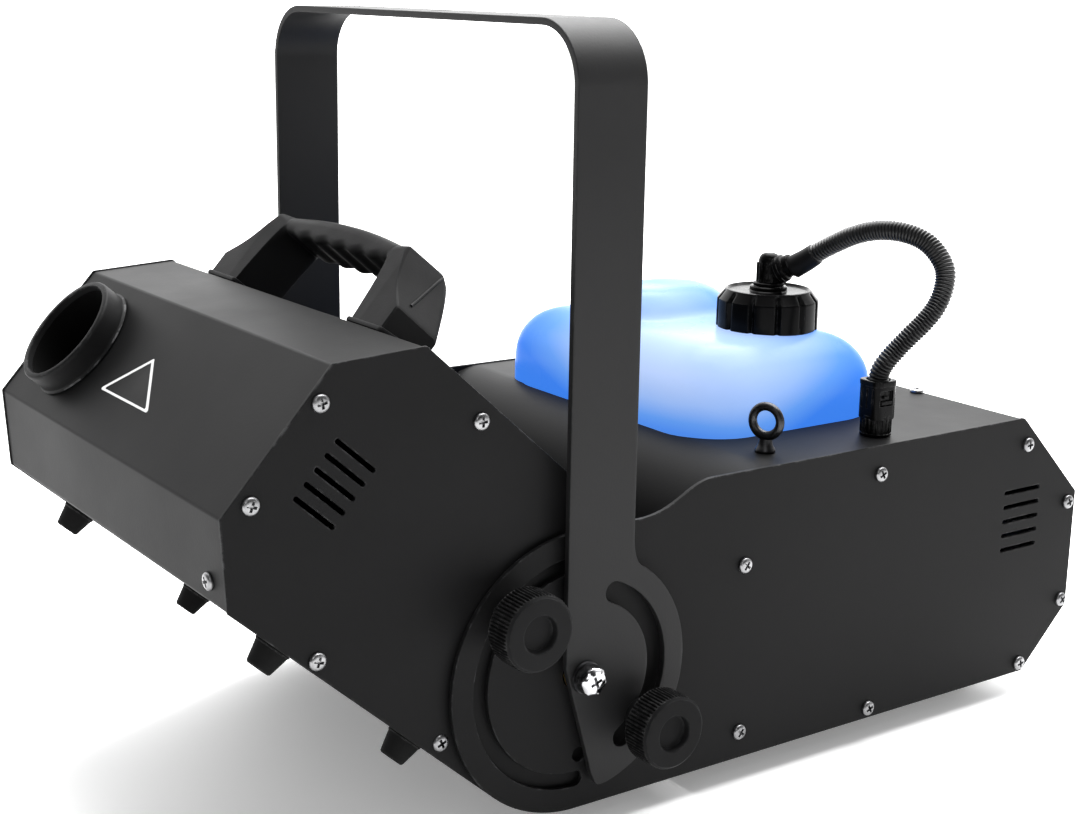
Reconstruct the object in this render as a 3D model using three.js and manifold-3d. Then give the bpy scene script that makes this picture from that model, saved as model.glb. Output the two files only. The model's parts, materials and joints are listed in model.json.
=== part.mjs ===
// Stage fog machine: a tilting head between the round cheeks of a level base, hung from a yoke.
// Units are millimetres, +Z is up, +X is the right-hand side and the nozzle looks towards -Y.
// Everything is laid out from the tilt pivot, then the whole machine is shifted so that the
// origin is the bottom centre of its box.
import * as THREE from 'three';
import { mergeVertices } from 'three/addons/utils/BufferGeometryUtils.js';
import Module from 'manifold-3d';

const wasm = await Module();
wasm.setup();

// ---------- driving dimensions ----------
const GAP = 0.3; // clearance between neighbouring pieces
const BODY_WIDTH = 240; // over the base's side panels
const PANEL = 2; // side panel thickness
const SHEET = 1.6; // folded sheet thickness
const FOOT_HEIGHT = 12;
const HEAD_FOOT_HEIGHT = 10.5;

const PIVOT_Z = 60.5; // pivot above the base's underside
const CHEEK_R = 60.5; // round cheek around the pivot
const BASE_HEIGHT = 133;
const BASE_REAR = 308.5; // pivot to the rear face
const BASE_FRONT = 66; // pivot to the base's front wall
const REAR_TOP_CHAMFER = 43;
const REAR_LOW_CHAMFER = 30;

const HEAD_TILT = THREE.MathUtils.degToRad(41.65); // nose up, as it stands
const HEAD_FRONT = 174.7; // pivot to the front face
const HEAD_HALF = 60.5; // half the head's height
const HEAD_TOP_CHAMFER = 27.7;
const HEAD_LOW_CHAMFER = 25;
const HEAD_HALF_WIDTH = 116.7;
const HEAD_PANEL = 1.5;

const NOZZLE_X = -74;
const NOZZLE_R = 26;
const NOZZLE_BORE = 23;
const NOZZLE_LENGTH = 11;

const YOKE_INNER_X = 122.5;
const YOKE_THICK = 3;
const YOKE_TOP = 321.4; // above the base's underside
const YOKE_WIDTH = 33;
const YOKE_MIDDLE_Y = 7;
const YOKE_CORNER_R = 25;
const FLANGE_R = 51;

const HEAD_SLOT_R = 47; // arc slot in the base's cheek, for the head's clamp knob
const HEAD_SLOT_HALF = 3.3;
const YOKE_SLOT_R = 36.5; // arc slot in the yoke's flange, for the base's clamp knob
const YOKE_SLOT_HALF = 4.5;
const YOKE_SLOT_FROM = THREE.MathUtils.degToRad(-57.5);
const YOKE_SLOT_TO = THREE.MathUtils.degToRad(67.5);
const YOKE_KNOB_ANGLE = THREE.MathUtils.degToRad(-39);
const SPARE_HOLE_ANGLE = THREE.MathUtils.degToRad(-87.5);

const KNOB_R = 16;
const KNOB_HEAD = 14;
const KNOB_BOSS_R = 8;
const KNOB_HEIGHT = 23.5;
const STUD_R = 2.9;
const BOLT_R = 4;
const BUSH_R = 7;

const TANK = { x0: -88, x1: 74, y0: 102, y1: 215, bottom: 46, shoulder: 171, top: 186 };
const TANK_CORNER_R = 26;
const TANK_WALL = 2.4;
const CAP = { x: 30, y: 177, r: 24.8, z0: 171.8, z1: 192 };
const GLAND = { x: 103, y: 181, half: 7.3, top: 159, depth: 7.5 };
const EYEBOLT = { x: 99, y: 116.5, ringR: 6.7, barR: 1.9, z: 146.6 };
const HOSE_R = 4.8;

const PIVOT_Y = -78.5; // puts the origin under the middle of the machine's length

// ---------- small helpers ----------
const DEG = Math.PI / 180;
const root = new THREE.Group();

// turns a shape's own x, y into the machine's Y, Z, so that it is extruded along X
const ACROSS = new THREE.Matrix4().makeBasis(
  new THREE.Vector3(0, 1, 0), new THREE.Vector3(0, 0, 1), new THREE.Vector3(1, 0, 0));
// turns a shape's own x, y into the machine's X, Z, so that it is extruded towards -Y
const ALONG = new THREE.Matrix4().makeBasis(
  new THREE.Vector3(1, 0, 0), new THREE.Vector3(0, 0, 1), new THREE.Vector3(0, -1, 0));

function extrude(shape, depth, curveSegments = 12) {
  return new THREE.ExtrudeGeometry(shape, { depth, bevelEnabled: false, curveSegments });
}

// plate between two X planes, drawn in Y, Z
function plateX(shape, x0, x1, curveSegments) {
  return extrude(shape, x1 - x0, curveSegments).applyMatrix4(ACROSS).translate(x0, 0, 0);
}

// plate between two Y planes, drawn in X, Z
function plateY(shape, y0, y1, curveSegments) {
  return extrude(shape, y1 - y0, curveSegments).applyMatrix4(ALONG).translate(0, y1, 0);
}

// plate between two Z planes, drawn in X, Y
function plateZ(shape, z0, z1, curveSegments) {
  return extrude(shape, z1 - z0, curveSegments).translate(0, 0, z0);
}

function box(x0, x1, y0, y1, z0, z1) {
  return new THREE.BoxGeometry(x1 - x0, y1 - y0, z1 - z0)
    .translate((x0 + x1) / 2, (y0 + y1) / 2, (z0 + z1) / 2);
}

function cylinderX(r, x0, x1, y, z, sides = 24) {
  return new THREE.CylinderGeometry(r, r, x1 - x0, sides).rotateZ(-Math.PI / 2)
    .translate((x0 + x1) / 2, y, z);
}

function cylinderY(r, y0, y1, x, z, sides = 24) {
  return new THREE.CylinderGeometry(r, r, y1 - y0, sides).translate(x, (y0 + y1) / 2, z);
}

function cylinderZ(r, z0, z1, x, y, sides = 24, topR = r) {
  return new THREE.CylinderGeometry(topR, r, z1 - z0, sides).rotateX(Math.PI / 2)
    .translate(x, y, (z0 + z1) / 2);
}

function polygon(points) {
  return new THREE.Shape(points.map(([a, b]) => new THREE.Vector2(a, b)));
}

function rectangle(x0, x1, y0, y1) {
  return polygon([[x0, y0], [x1, y0], [x1, y1], [x0, y1]]);
}

function arcPoints(cx, cy, r, from, to, steps) {
  return Array.from({ length: steps + 1 }, (_, i) => {
    const a = from + ((to - from) * i) / steps;
    return [cx + r * Math.cos(a), cy + r * Math.sin(a)];
  });
}

function roundedRectangle(x0, x1, y0, y1, r, steps = 2) {
  const quarter = Math.PI / 2;
  return polygon([
    ...arcPoints(x1 - r, y0 + r, r, -quarter, 0, steps),
    ...arcPoints(x1 - r, y1 - r, r, 0, quarter, steps),
    ...arcPoints(x0 + r, y1 - r, r, quarter, 2 * quarter, steps),
    ...arcPoints(x0 + r, y0 + r, r, 2 * quarter, 3 * quarter, steps)]);
}

// a slot that follows an arc, with round ends
function arcSlot(cy, cz, r, half, from, to, steps) {
  const end = (a, start) => arcPoints(cy + r * Math.cos(a), cz + r * Math.sin(a), half,
    start, start + Math.PI, 6).slice(1, -1);
  return polygon([
    ...arcPoints(cy, cz, r + half, from, to, steps), ...end(to, to),
    ...arcPoints(cy, cz, r - half, to, from, steps), ...end(from, from + Math.PI)]);
}

// outline of a sheet of even thickness, folded along a line and lying on its left-hand side
function foldedSheet(line, thickness) {
  const inner = line.map((p, i) => {
    const before = line[Math.max(i - 1, 0)];
    const after = line[Math.min(i + 1, line.length - 1)];
    const edges = [];
    if (i > 0) edges.push([p[0] - before[0], p[1] - before[1]]);
    if (i < line.length - 1) edges.push([after[0] - p[0], after[1] - p[1]]);
    const normals = edges.map(([a, b]) => [-b / Math.hypot(a, b), a / Math.hypot(a, b)]);
    const n = normals.reduce((sum, [a, b]) => [sum[0] + a, sum[1] + b], [0, 0]);
    const scale = thickness / (n[0] * normals[0][0] + n[1] * normals[0][1]);
    return [p[0] + n[0] * scale, p[1] + n[1] * scale];
  });
  return polygon([...line, ...inner.reverse()]);
}

function solid(geometry) {
  const bare = geometry.clone();
  bare.deleteAttribute('normal');
  bare.deleteAttribute('uv');
  const merged = mergeVertices(bare, 1e-4);
  return new wasm.Manifold(new wasm.Mesh({
    numProp: 3,
    vertProperties: new Float32Array(merged.attributes.position.array),
    triVerts: new Uint32Array(merged.index.array),
  }));
}

function combine(first, { add = [], cut = [] }) {
  let body = solid(first);
  for (const g of add) body = body.add(solid(g));
  for (const g of cut) body = body.subtract(solid(g));
  const mesh = body.getMesh();
  const out = new THREE.BufferGeometry();
  out.setAttribute('position', new THREE.BufferAttribute(new Float32Array(mesh.vertProperties), 3));
  out.setIndex(new THREE.BufferAttribute(new Uint32Array(mesh.triVerts), 1));
  out.computeVertexNormals();
  return out;
}

function finish(color, roughness, metalness) {
  return () => new THREE.MeshStandardMaterial({ color, roughness, metalness });
}

const powderCoat = finish(0x2c2c2e, 0.62, 0.1);
const blackPlastic = finish(0x101012, 0.45, 0);
const rubber = finish(0x0c0c0c, 0.9, 0);
const zinc = finish(0xc9c9cc, 0.3, 1);
const brass = finish(0xb08d45, 0.35, 1);
const aluminium = finish(0xa8abb0, 0.4, 1);
const board = finish(0x0f4a2a, 0.6, 0);
const litPlastic = finish(0x9cc4ff, 0.35, 0);
const screen = finish(0x0a1830, 0.1, 0);
const copper = finish(0x9a5b35, 0.45, 0.8);
const steel = finish(0x55585c, 0.5, 0.8);

function piece(parent, name, geometry, material) {
  const mesh = new THREE.Mesh(geometry, material());
  mesh.name = name;
  parent.add(mesh);
  return mesh;
}

// ---------- base ----------
const base = new THREE.Group();
const HALF = BODY_WIDTH / 2;
const INSIDE = HALF - PANEL - GAP; // half width between the side panels
const sides = [['right', 1], ['left', -1]];

function basePanelOutline() {
  const s = new THREE.Shape();
  s.moveTo(0, 0);
  s.lineTo(BASE_REAR - REAR_LOW_CHAMFER, 0);
  s.lineTo(BASE_REAR, REAR_LOW_CHAMFER);
  s.lineTo(BASE_REAR, BASE_HEIGHT - REAR_TOP_CHAMFER);
  s.lineTo(BASE_REAR - REAR_TOP_CHAMFER, BASE_HEIGHT);
  s.lineTo(70, BASE_HEIGHT);
  s.bezierCurveTo(56, BASE_HEIGHT, 50, 2 * CHEEK_R, 30, 2 * CHEEK_R);
  s.lineTo(0, 2 * CHEEK_R);
  s.absarc(0, PIVOT_Z, CHEEK_R, Math.PI / 2, 1.5 * Math.PI);
  s.closePath();
  return s;
}

const VENT = { y0: 255, y1: 280.5, top: 96.5, pitch: 7.25, count: 5, height: 2.1 };

function basePanel(side) {
  const x0 = side > 0 ? HALF - PANEL : -HALF;
  const through = [x0 - 1, x0 + PANEL + 1];
  const pin = (r, radius, angle) =>
    cylinderX(r, ...through, radius * Math.cos(angle), PIVOT_Z + radius * Math.sin(angle), 16);
  const cuts = [
    plateX(arcSlot(0, PIVOT_Z, HEAD_SLOT_R, HEAD_SLOT_HALF, 90 * DEG, 270 * DEG, 24), ...through),
    pin(BUSH_R + GAP, 0, 0),
    pin(STUD_R + GAP, YOKE_SLOT_R, YOKE_KNOB_ANGLE),
    pin(STUD_R + GAP, YOKE_SLOT_R, SPARE_HOLE_ANGLE),
  ];
  for (let i = 0; i < VENT.count; i++) {
    const z = VENT.top - i * VENT.pitch;
    const slot = roundedRectangle(VENT.y0, VENT.y1, z - VENT.height / 2, z + VENT.height / 2, 1);
    cuts.push(plateX(slot, ...through));
  }
  return combine(plateX(basePanelOutline(), x0, x0 + PANEL, 16), { cut: cuts });
}

// the outer line of the cover, from the foot of the front wall to the rear chamfer's lower edge
const TRIM = 0.5; // the folded sheets lie this far inside the side panels' outline
function coverLine() {
  const top = BASE_HEIGHT - TRIM;
  const crown = { y: 105, z: 88 };
  const line = [[BASE_FRONT, SHEET + 2 * TRIM]];
  const steps = 8;
  for (let i = 0; i <= steps; i++) {
    const a = Math.PI - (i / steps) * (Math.PI / 2);
    line.push([
      crown.y + (crown.y - BASE_FRONT) * Math.cos(a),
      crown.z + (top - crown.z) * Math.sin(a)]);
  }
  line.push([BASE_REAR - REAR_TOP_CHAMFER - 0.4 * TRIM, top]);
  line.push([BASE_REAR - 1.4 * TRIM - 0.3, BASE_HEIGHT - REAR_TOP_CHAMFER + 0.3]);
  return line;
}

// fittings on the sloping rear face are placed in a group that lies in its plane
const SLOPE = new THREE.Group();
const SLOPE_LENGTH = REAR_TOP_CHAMFER * Math.SQRT2;
SLOPE.position.set(0, BASE_REAR - REAR_TOP_CHAMFER / 2 - 0.35, BASE_HEIGHT - REAR_TOP_CHAMFER / 2 - 0.35);
SLOPE.rotation.x = -Math.PI / 4; // its +Z leaves the face, its +Y runs down the slope
SLOPE.updateMatrix();
const onSlope = (geometry) => geometry.clone().applyMatrix4(SLOPE.matrix);

const DISPLAY = { x: 42, halfWidth: 36, halfHeight: 17 };
const BUTTONS = { x0: -22, pitch: 19, half: 5.5, travel: 1.2, proud: 2.2, count: 4 };
const buttonX = (i) => BUTTONS.x0 - i * BUTTONS.pitch;

function baseCover() {
  const { x, halfWidth, halfHeight } = DISPLAY;
  const cuts = [
    plateZ(roundedRectangle(TANK.x0 - 2, TANK.x1 + 2, TANK.y0 - 2, TANK.y1 + 2, TANK_CORNER_R + 2, 5), 120, 140),
    cylinderZ(3 + GAP, 120, 140, EYEBOLT.x, EYEBOLT.y, 16),
    cylinderZ(6 + GAP, 120, 140, GLAND.x, GLAND.y, 16),
    onSlope(box(x - halfWidth, x + halfWidth, -halfHeight, halfHeight, -8, 8)),
  ];
  for (let i = 0; i < BUTTONS.count; i++) {
    const half = BUTTONS.half + 0.4;
    cuts.push(onSlope(box(buttonX(i) - half, buttonX(i) + half, -half, half, -8, 8)));
  }
  return combine(plateX(foldedSheet(coverLine(), -SHEET), -INSIDE, INSIDE), { cut: cuts });
}

function floorPan() {
  const line = [
    [BASE_FRONT + 1, TRIM],
    [BASE_REAR - REAR_LOW_CHAMFER - 0.4 * TRIM, TRIM],
    [BASE_REAR - 1.4 * TRIM - 0.3, REAR_LOW_CHAMFER - 0.3]];
  return plateX(foldedSheet(line, SHEET), -INSIDE, INSIDE);
}

// fittings of the upright rear face, each given by its middle and its half sizes
const REAR_Z = 60;
const REAR_FITTINGS = {
  inlet: { x: -84, halfX: 14.5, halfZ: 11 },
  fuse: { x: -46, r: 6.5 },
  rocker: { x: -20, halfX: 7, halfZ: 10.5 },
  dmxIn: { x: 18, r: 12 },
  dmxOut: { x: 54, r: 12 },
  remote: { x: 90, r: 9 },
};
const REAR_FACE = BASE_REAR - TRIM;

function rearPanel() {
  const f = REAR_FITTINGS;
  const y = [REAR_FACE - SHEET - 1, REAR_FACE + 1];
  const window = (w) => box(w.x - w.halfX - GAP, w.x + w.halfX + GAP, ...y, REAR_Z - w.halfZ - GAP, REAR_Z + w.halfZ + GAP);
  const hole = (h) => cylinderY(h.r + GAP, ...y, h.x, REAR_Z, 20);
  const plate = box(-INSIDE, INSIDE, REAR_FACE - SHEET, REAR_FACE,
    REAR_LOW_CHAMFER + 1.3, BASE_HEIGHT - REAR_TOP_CHAMFER - 1.4);
  return combine(plate, {
    cut: [window(f.inlet), window(f.rocker), hole(f.fuse), hole(f.dmxIn), hole(f.dmxOut), hole(f.remote)],
  });
}

// a fitting with a flange outside the rear face and a body through it
function flanged(f, flangeX, flangeZ, bodyDepth, bore, boreDepth) {
  const outer = REAR_FACE + GAP;
  const thick = 2.4;
  const flange = box(f.x - flangeX, f.x + flangeX, outer, outer + thick, REAR_Z - flangeZ, REAR_Z + flangeZ);
  const through = f.r
    ? cylinderY(f.r, REAR_FACE - bodyDepth, outer + 0.5, f.x, REAR_Z, 20)
    : box(f.x - f.halfX, f.x + f.halfX, REAR_FACE - bodyDepth, outer + 0.5, REAR_Z - f.halfZ, REAR_Z + f.halfZ);
  const hollow = bore.translate(0, outer + thick - boreDepth / 2, 0);
  return combine(flange, { add: [through], cut: [hollow] });
}

const INLET_SCREW_X = 20;
function rearFittings() {
  const f = REAR_FITTINGS;
  const slot = (x, halfX, halfZ, depth) => box(x - halfX, x + halfX, -depth / 2, depth / 2 + 1, REAR_Z - halfZ, REAR_Z + halfZ);
  const round = (x, r, depth) => cylinderY(r, -depth / 2, depth / 2 + 1, x, REAR_Z, 20);
  piece(base, 'power_inlet',
    flanged(f.inlet, INLET_SCREW_X + 4, 13, 22, slot(f.inlet.x, 12, 8, 14), 14), blackPlastic);
  piece(base, 'fuse_holder', flanged(f.fuse, 8.5, 8.5, 24, round(f.fuse.x, 4.6, 20), 20), blackPlastic);
  piece(base, 'dmx_in_socket', flanged(f.dmxIn, 13.5, 15.5, 14, round(f.dmxIn.x, 10.4, 10), 10), blackPlastic);
  piece(base, 'dmx_out_socket', flanged(f.dmxOut, 13.5, 15.5, 14, round(f.dmxOut.x, 10.4, 10), 10), blackPlastic);
  piece(base, 'remote_socket', flanged(f.remote, 10.5, 10.5, 12, round(f.remote.x, 7.2, 8), 8), aluminium);
  piece(base, 'switch_frame', flanged(f.rocker, 9, 12.5, 14, slot(f.rocker.x, 5.6, 9.2, 18), 18), blackPlastic);
  const cap = cylinderY(4.2, REAR_FACE - 12, REAR_FACE + 4.4, f.fuse.x, REAR_Z, 16);
  piece(base, 'fuse_cap', cap, blackPlastic);
}

// a rocker whose two halves meet in a shallow V, turning about its middle
const ROCKER_AXIS_Y = REAR_FACE - 2;
function rocker() {
  const tip = 7.2;
  const shape = polygon([
    [ROCKER_AXIS_Y - 5, REAR_Z - 4], [ROCKER_AXIS_Y + 2.2, REAR_Z - tip],
    [ROCKER_AXIS_Y + 3.2, REAR_Z], [ROCKER_AXIS_Y + 5.4, REAR_Z + tip], [ROCKER_AXIS_Y - 5, REAR_Z + 4]]);
  return plateX(shape, REAR_FITTINGS.rocker.x - 5, REAR_FITTINGS.rocker.x + 5);
}

const TRAY = { floor: TANK.bottom - 6, top: 122 };
function tray() {
  const wall = 1.5;
  const grown = (d) => roundedRectangle(TANK.x0 - d, TANK.x1 + d, TANK.y0 - d, TANK.y1 + d, TANK_CORNER_R + d, 5);
  return combine(plateZ(grown(4), TRAY.floor, TRAY.top), {
    cut: [plateZ(grown(4 - wall), TRAY.floor + wall, TRAY.top + 1)],
  });
}

function hoseGland() {
  const { x, y, half, top, depth } = GLAND;
  const seat = BASE_HEIGHT - TRIM + GAP;
  return combine(plateZ(roundedRectangle(x - half, x + half, y - half, y + half, 3), seat, top), {
    add: [cylinderZ(6, seat - 14, seat + 1, x, y, 16)],
    cut: [
      cylinderZ(HOSE_R + 0.6, top - depth, top + 1, x, y, 16),
      box(x + half - 2, x + half + 1, y - 4.5, y + 4.5, top - 15, top - 8)],
  });
}

function eyebolt() {
  const { x, y, ringR, barR, z } = EYEBOLT;
  const seat = BASE_HEIGHT - TRIM + GAP;
  const ring = new THREE.TorusGeometry(ringR, barR, 10, 28).rotateX(Math.PI / 2).rotateZ(22 * DEG)
    .translate(x, y, z);
  return combine(cylinderZ(4.2, seat, seat + 2.2, x, y, 20), {
    add: [cylinderZ(2.2, seat + 1, z - ringR, x, y, 12), cylinderZ(3, seat - 14, seat + 0.5, x, y, 12), ring],
  });
}

// stands off the back of the sloping face, with a switch under each menu button
function controlBoard() {
  const under = -SHEET - GAP - 0.3;
  const top = -7;
  const add = [[-100, -14], [-100, 14], [100, -14], [100, 14]].map(([px, py]) =>
    cylinderZ(2.5, top - 0.5, under, px, py, 8));
  for (let i = 0; i < BUTTONS.count; i++) add.push(box(buttonX(i) - 3, buttonX(i) + 3, -3, 3, top - 0.5, -5.2));
  return combine(box(-104, 104, -18, 18, top - 1.6, top), { add });
}

function buildBase() {
  for (const [name, side] of sides) piece(base, `base_side_panel_${name}`, basePanel(side), powderCoat);
  piece(base, 'base_cover', baseCover(), powderCoat);
  piece(base, 'base_floor_pan', floorPan(), powderCoat);
  piece(base, 'base_rear_panel', rearPanel(), powderCoat);
  rearFittings();
  piece(base, 'power_rocker', rocker(), blackPlastic);
  piece(base, 'tank_tray', tray(), blackPlastic);
  piece(base, 'hose_gland', hoseGland(), blackPlastic);
  piece(base, 'eyebolt', eyebolt(), blackPlastic);

  const { x, halfWidth, halfHeight } = DISPLAY;
  const bezel = combine(
    box(x - halfWidth - 3, x + halfWidth + 3, -halfHeight - 3, halfHeight + 3, GAP, 2.2), {
      add: [box(x - halfWidth + GAP, x + halfWidth - GAP, -halfHeight + GAP, halfHeight - GAP, -4, 1)],
      cut: [box(x - 28, x + 28, -11, 11, -5, 3)],
    });
  piece(base, 'display_bezel', onSlope(bezel), blackPlastic);
  piece(base, 'display_window', onSlope(box(x - 27.7, x + 27.7, -10.7, 10.7, -3.5, 1.2)), screen);
  for (let i = 0; i < BUTTONS.count; i++) {
    const { half, proud } = BUTTONS;
    const cap = box(buttonX(i) - half, buttonX(i) + half, -half, half, -3.5, proud);
    piece(base, `menu_button_${i + 1}`, onSlope(cap), blackPlastic);
  }

  // the works inside the base
  const floor = TRIM + SHEET + GAP;
  piece(base, 'tank_led_board', box(-50, 36, 122, 195, TRAY.floor + 1.5 + GAP, TANK.bottom - 1.5), board);
  const pump = combine(cylinderX(17, -45, 0, 250, floor + 21), { add: [box(-45, -15, 235, 265, floor, floor + 22)] });
  piece(base, 'fluid_pump', pump, zinc);
  piece(base, 'control_board', onSlope(controlBoard()), board);
  piece(base, 'power_supply', box(-20, 70, 110, 200, floor, floor + 34), aluminium);
  const core = box(32, 92, 222.5, 274, floor, floor + 56);
  const winding = box(24, 100, 229, 267.5, floor + 9, floor + 47);
  piece(base, 'transformer', combine(core, { add: [winding] }), steel);

  for (let i = 0; i < 4; i++) {
    const fx = i % 2 === 0 ? 88 : -88;
    const fy = i < 2 ? 80 : 262;
    const foot = cylinderZ(8.5, -FOOT_HEIGHT, TRIM - GAP, fx, fy, 16, 10);
    piece(base, `base_foot_${i + 1}`, foot, rubber);
  }
}

// ---------- head ----------
const head = new THREE.Group();
head.position.set(0, 0, PIVOT_Z);
head.rotation.x = -HEAD_TILT;

// outline of the head's side, in its own Y, Z about the pivot, drawn in by some margin
function headOutline(margin) {
  const half = HEAD_HALF - margin;
  const front = -(HEAD_FRONT - margin);
  const mitre = margin * (Math.SQRT2 - 1);
  const s = new THREE.Shape();
  s.absarc(0, 0, half, -Math.PI / 2, Math.PI / 2);
  s.lineTo(-(HEAD_FRONT - HEAD_TOP_CHAMFER - mitre), half);
  s.lineTo(front, HEAD_HALF - HEAD_TOP_CHAMFER - mitre);
  s.lineTo(front, -(HEAD_HALF - HEAD_LOW_CHAMFER - mitre));
  s.lineTo(-(HEAD_FRONT - HEAD_LOW_CHAMFER - mitre), -half);
  s.closePath();
  return s;
}

const SHELL_END = HEAD_HALF_WIDTH - HEAD_PANEL - GAP;
function headShell() {
  const y = -HEAD_FRONT;
  return combine(plateX(headOutline(TRIM), -SHELL_END, SHELL_END, 12), {
    cut: [
      plateX(headOutline(TRIM + SHEET), -SHELL_END - 1, SHELL_END + 1, 12),
      cylinderY(NOZZLE_BORE + 1, y - 5, y + 10, NOZZLE_X, 0, 32)],
  });
}

const HEAD_VENT = { y0: -155.5, y1: -134, top: 12.2, pitch: 6.4, count: 5, height: 2 };
function headPanel(side) {
  const x0 = side > 0 ? HEAD_HALF_WIDTH - HEAD_PANEL : -HEAD_HALF_WIDTH;
  const through = [x0 - 1, x0 + HEAD_PANEL + 1];
  const cuts = [
    cylinderX(BOLT_R + GAP, ...through, 0, 0, 20),
    cylinderX(STUD_R + GAP, ...through, -HEAD_SLOT_R, 0, 16)];
  for (let i = 0; i < HEAD_VENT.count; i++) {
    const z = HEAD_VENT.top - i * HEAD_VENT.pitch;
    const { y0, y1, height } = HEAD_VENT;
    cuts.push(plateX(roundedRectangle(y0, y1, z - height / 2, z + height / 2, 0.95), ...through));
  }
  return combine(plateX(headOutline(0), x0, x0 + HEAD_PANEL, 12), { cut: cuts });
}

// revolves a closed profile of [radius, distance ahead of the head's front face] about the nozzle
function aboutNozzle(profile, segments = 32) {
  const points = [...profile, profile[0]].map(([r, ahead]) => new THREE.Vector2(r, ahead));
  return new THREE.LatheGeometry(points, segments).rotateX(Math.PI)
    .translate(NOZZLE_X, -HEAD_FRONT, 0);
}

function nozzleCollar() {
  const seat = GAP;
  const neck = NOZZLE_BORE + 0.6;
  return aboutNozzle([
    [NOZZLE_R, seat], [NOZZLE_R, NOZZLE_LENGTH - 1], [NOZZLE_R - 1, NOZZLE_LENGTH],
    [NOZZLE_BORE, NOZZLE_LENGTH], [NOZZLE_BORE - 2, -22], [neck, -22], [neck, seat]]);
}

function nozzleTip() {
  const points = [[0, -30], [9, -30], [9, -26], [5, -24], [4, -12], [0, -12]];
  return new THREE.LatheGeometry(points.map(([r, a]) => new THREE.Vector2(r, a)), 16)
    .rotateX(Math.PI).translate(NOZZLE_X, -HEAD_FRONT, 0);
}

const HANDLE = {
  front: -145, back: -120, footOut: 79, footIn: 53.5, footTop: 12.5, shoulder: 56, rise: 40, crown: 44.5,
  gripX: 47, grip: 11.5,
};
function carryHandle() {
  const h = HANDLE;
  const seat = HEAD_HALF + GAP;
  const top = HEAD_HALF + h.rise;
  const s = new THREE.Shape();
  s.moveTo(-h.footOut, seat);
  s.lineTo(-h.footOut, HEAD_HALF + h.footTop);
  s.quadraticCurveTo(-66, HEAD_HALF + 26, -h.shoulder, top);
  s.quadraticCurveTo(0, 2 * (HEAD_HALF + h.crown) - top, h.shoulder, top);
  s.quadraticCurveTo(66, HEAD_HALF + 26, h.footOut, HEAD_HALF + h.footTop);
  s.lineTo(h.footOut, seat);
  s.lineTo(h.footIn, seat);
  s.lineTo(h.gripX, top - h.grip);
  s.lineTo(-h.gripX, top - h.grip);
  s.lineTo(-h.footIn, seat);
  s.closePath();
  return plateY(s, h.front, h.back, 10);
}

const HEATER_FRONT = -HEAD_FRONT + 31;
function buildHead() {
  piece(head, 'head_shell', headShell(), powderCoat);
  for (const [name, side] of sides) piece(head, `head_side_panel_${name}`, headPanel(side), powderCoat);
  piece(head, 'nozzle_collar', nozzleCollar(), blackPlastic);
  piece(head, 'nozzle_tip', nozzleTip(), brass);
  piece(head, 'carry_handle', carryHandle(), blackPlastic);

  const back = -30;
  const legs = [HEATER_FRONT + 8, back - 12].map((y) => box(NOZZLE_X - 14, NOZZLE_X + 14, y - 1.5, y + 1.5,
    -HEAD_HALF + TRIM + SHEET + GAP, -10));
  piece(head, 'heater_block', combine(cylinderY(22, HEATER_FRONT, back, NOZZLE_X, 0, 24), { add: legs }), aluminium);
  piece(head, 'thermal_cut_out', cylinderZ(8, 22 + GAP, 32, NOZZLE_X, -70, 16), copper);

  for (let i = 0; i < 4; i++) {
    const fx = i % 2 === 0 ? 100 : -100;
    const fy = i < 2 ? -115.5 : -39.5;
    const foot = cylinderZ(5.2, -HEAD_HALF - HEAD_FOOT_HEIGHT, -HEAD_HALF + TRIM - GAP, fx, fy, 16, 7.6);
    piece(head, `head_foot_${i + 1}`, foot, rubber);
  }
}

// ---------- yoke and clamps ----------
const yoke = new THREE.Group();
const YOKE_OUTER_X = YOKE_INNER_X + YOKE_THICK;

// the bent strap, seen from the front
function strapOutline() {
  const r = YOKE_CORNER_R;
  const s = new THREE.Shape();
  const foot = PIVOT_Z + 10;
  s.moveTo(YOKE_OUTER_X, foot);
  s.absarc(YOKE_OUTER_X - r, YOKE_TOP - r, r, 0, Math.PI / 2);
  s.absarc(-YOKE_OUTER_X + r, YOKE_TOP - r, r, Math.PI / 2, Math.PI);
  s.lineTo(-YOKE_OUTER_X, foot);
  s.lineTo(-YOKE_INNER_X, foot);
  s.absarc(-YOKE_OUTER_X + r, YOKE_TOP - r, r - YOKE_THICK, Math.PI, Math.PI / 2, true);
  s.absarc(YOKE_OUTER_X - r, YOKE_TOP - r, r - YOKE_THICK, Math.PI / 2, 0, true);
  s.lineTo(YOKE_INNER_X, foot);
  s.closePath();
  return s;
}

// the flange at the foot of each leg: round behind the pivot, cut away along a slant in front
function flangeOutline() {
  const front = YOKE_MIDDLE_Y - YOKE_WIDTH / 2;
  const back = YOKE_MIDDLE_Y + YOKE_WIDTH / 2;
  const rise = Math.sqrt(FLANGE_R ** 2 - back ** 2);
  const s = new THREE.Shape();
  s.moveTo(front, PIVOT_Z + 60);
  s.lineTo(front, PIVOT_Z + 5);
  s.lineTo(4, PIVOT_Z - 43);
  s.quadraticCurveTo(6.5, PIVOT_Z - 49, 12, PIVOT_Z - 49.5);
  s.absarc(0, PIVOT_Z, FLANGE_R, -76 * DEG, Math.atan2(rise, back) - 9 * DEG);
  s.quadraticCurveTo(back + 1, PIVOT_Z + rise - 2, back, PIVOT_Z + rise + 8);
  s.lineTo(back, PIVOT_Z + 60);
  s.closePath();
  return s;
}

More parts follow.
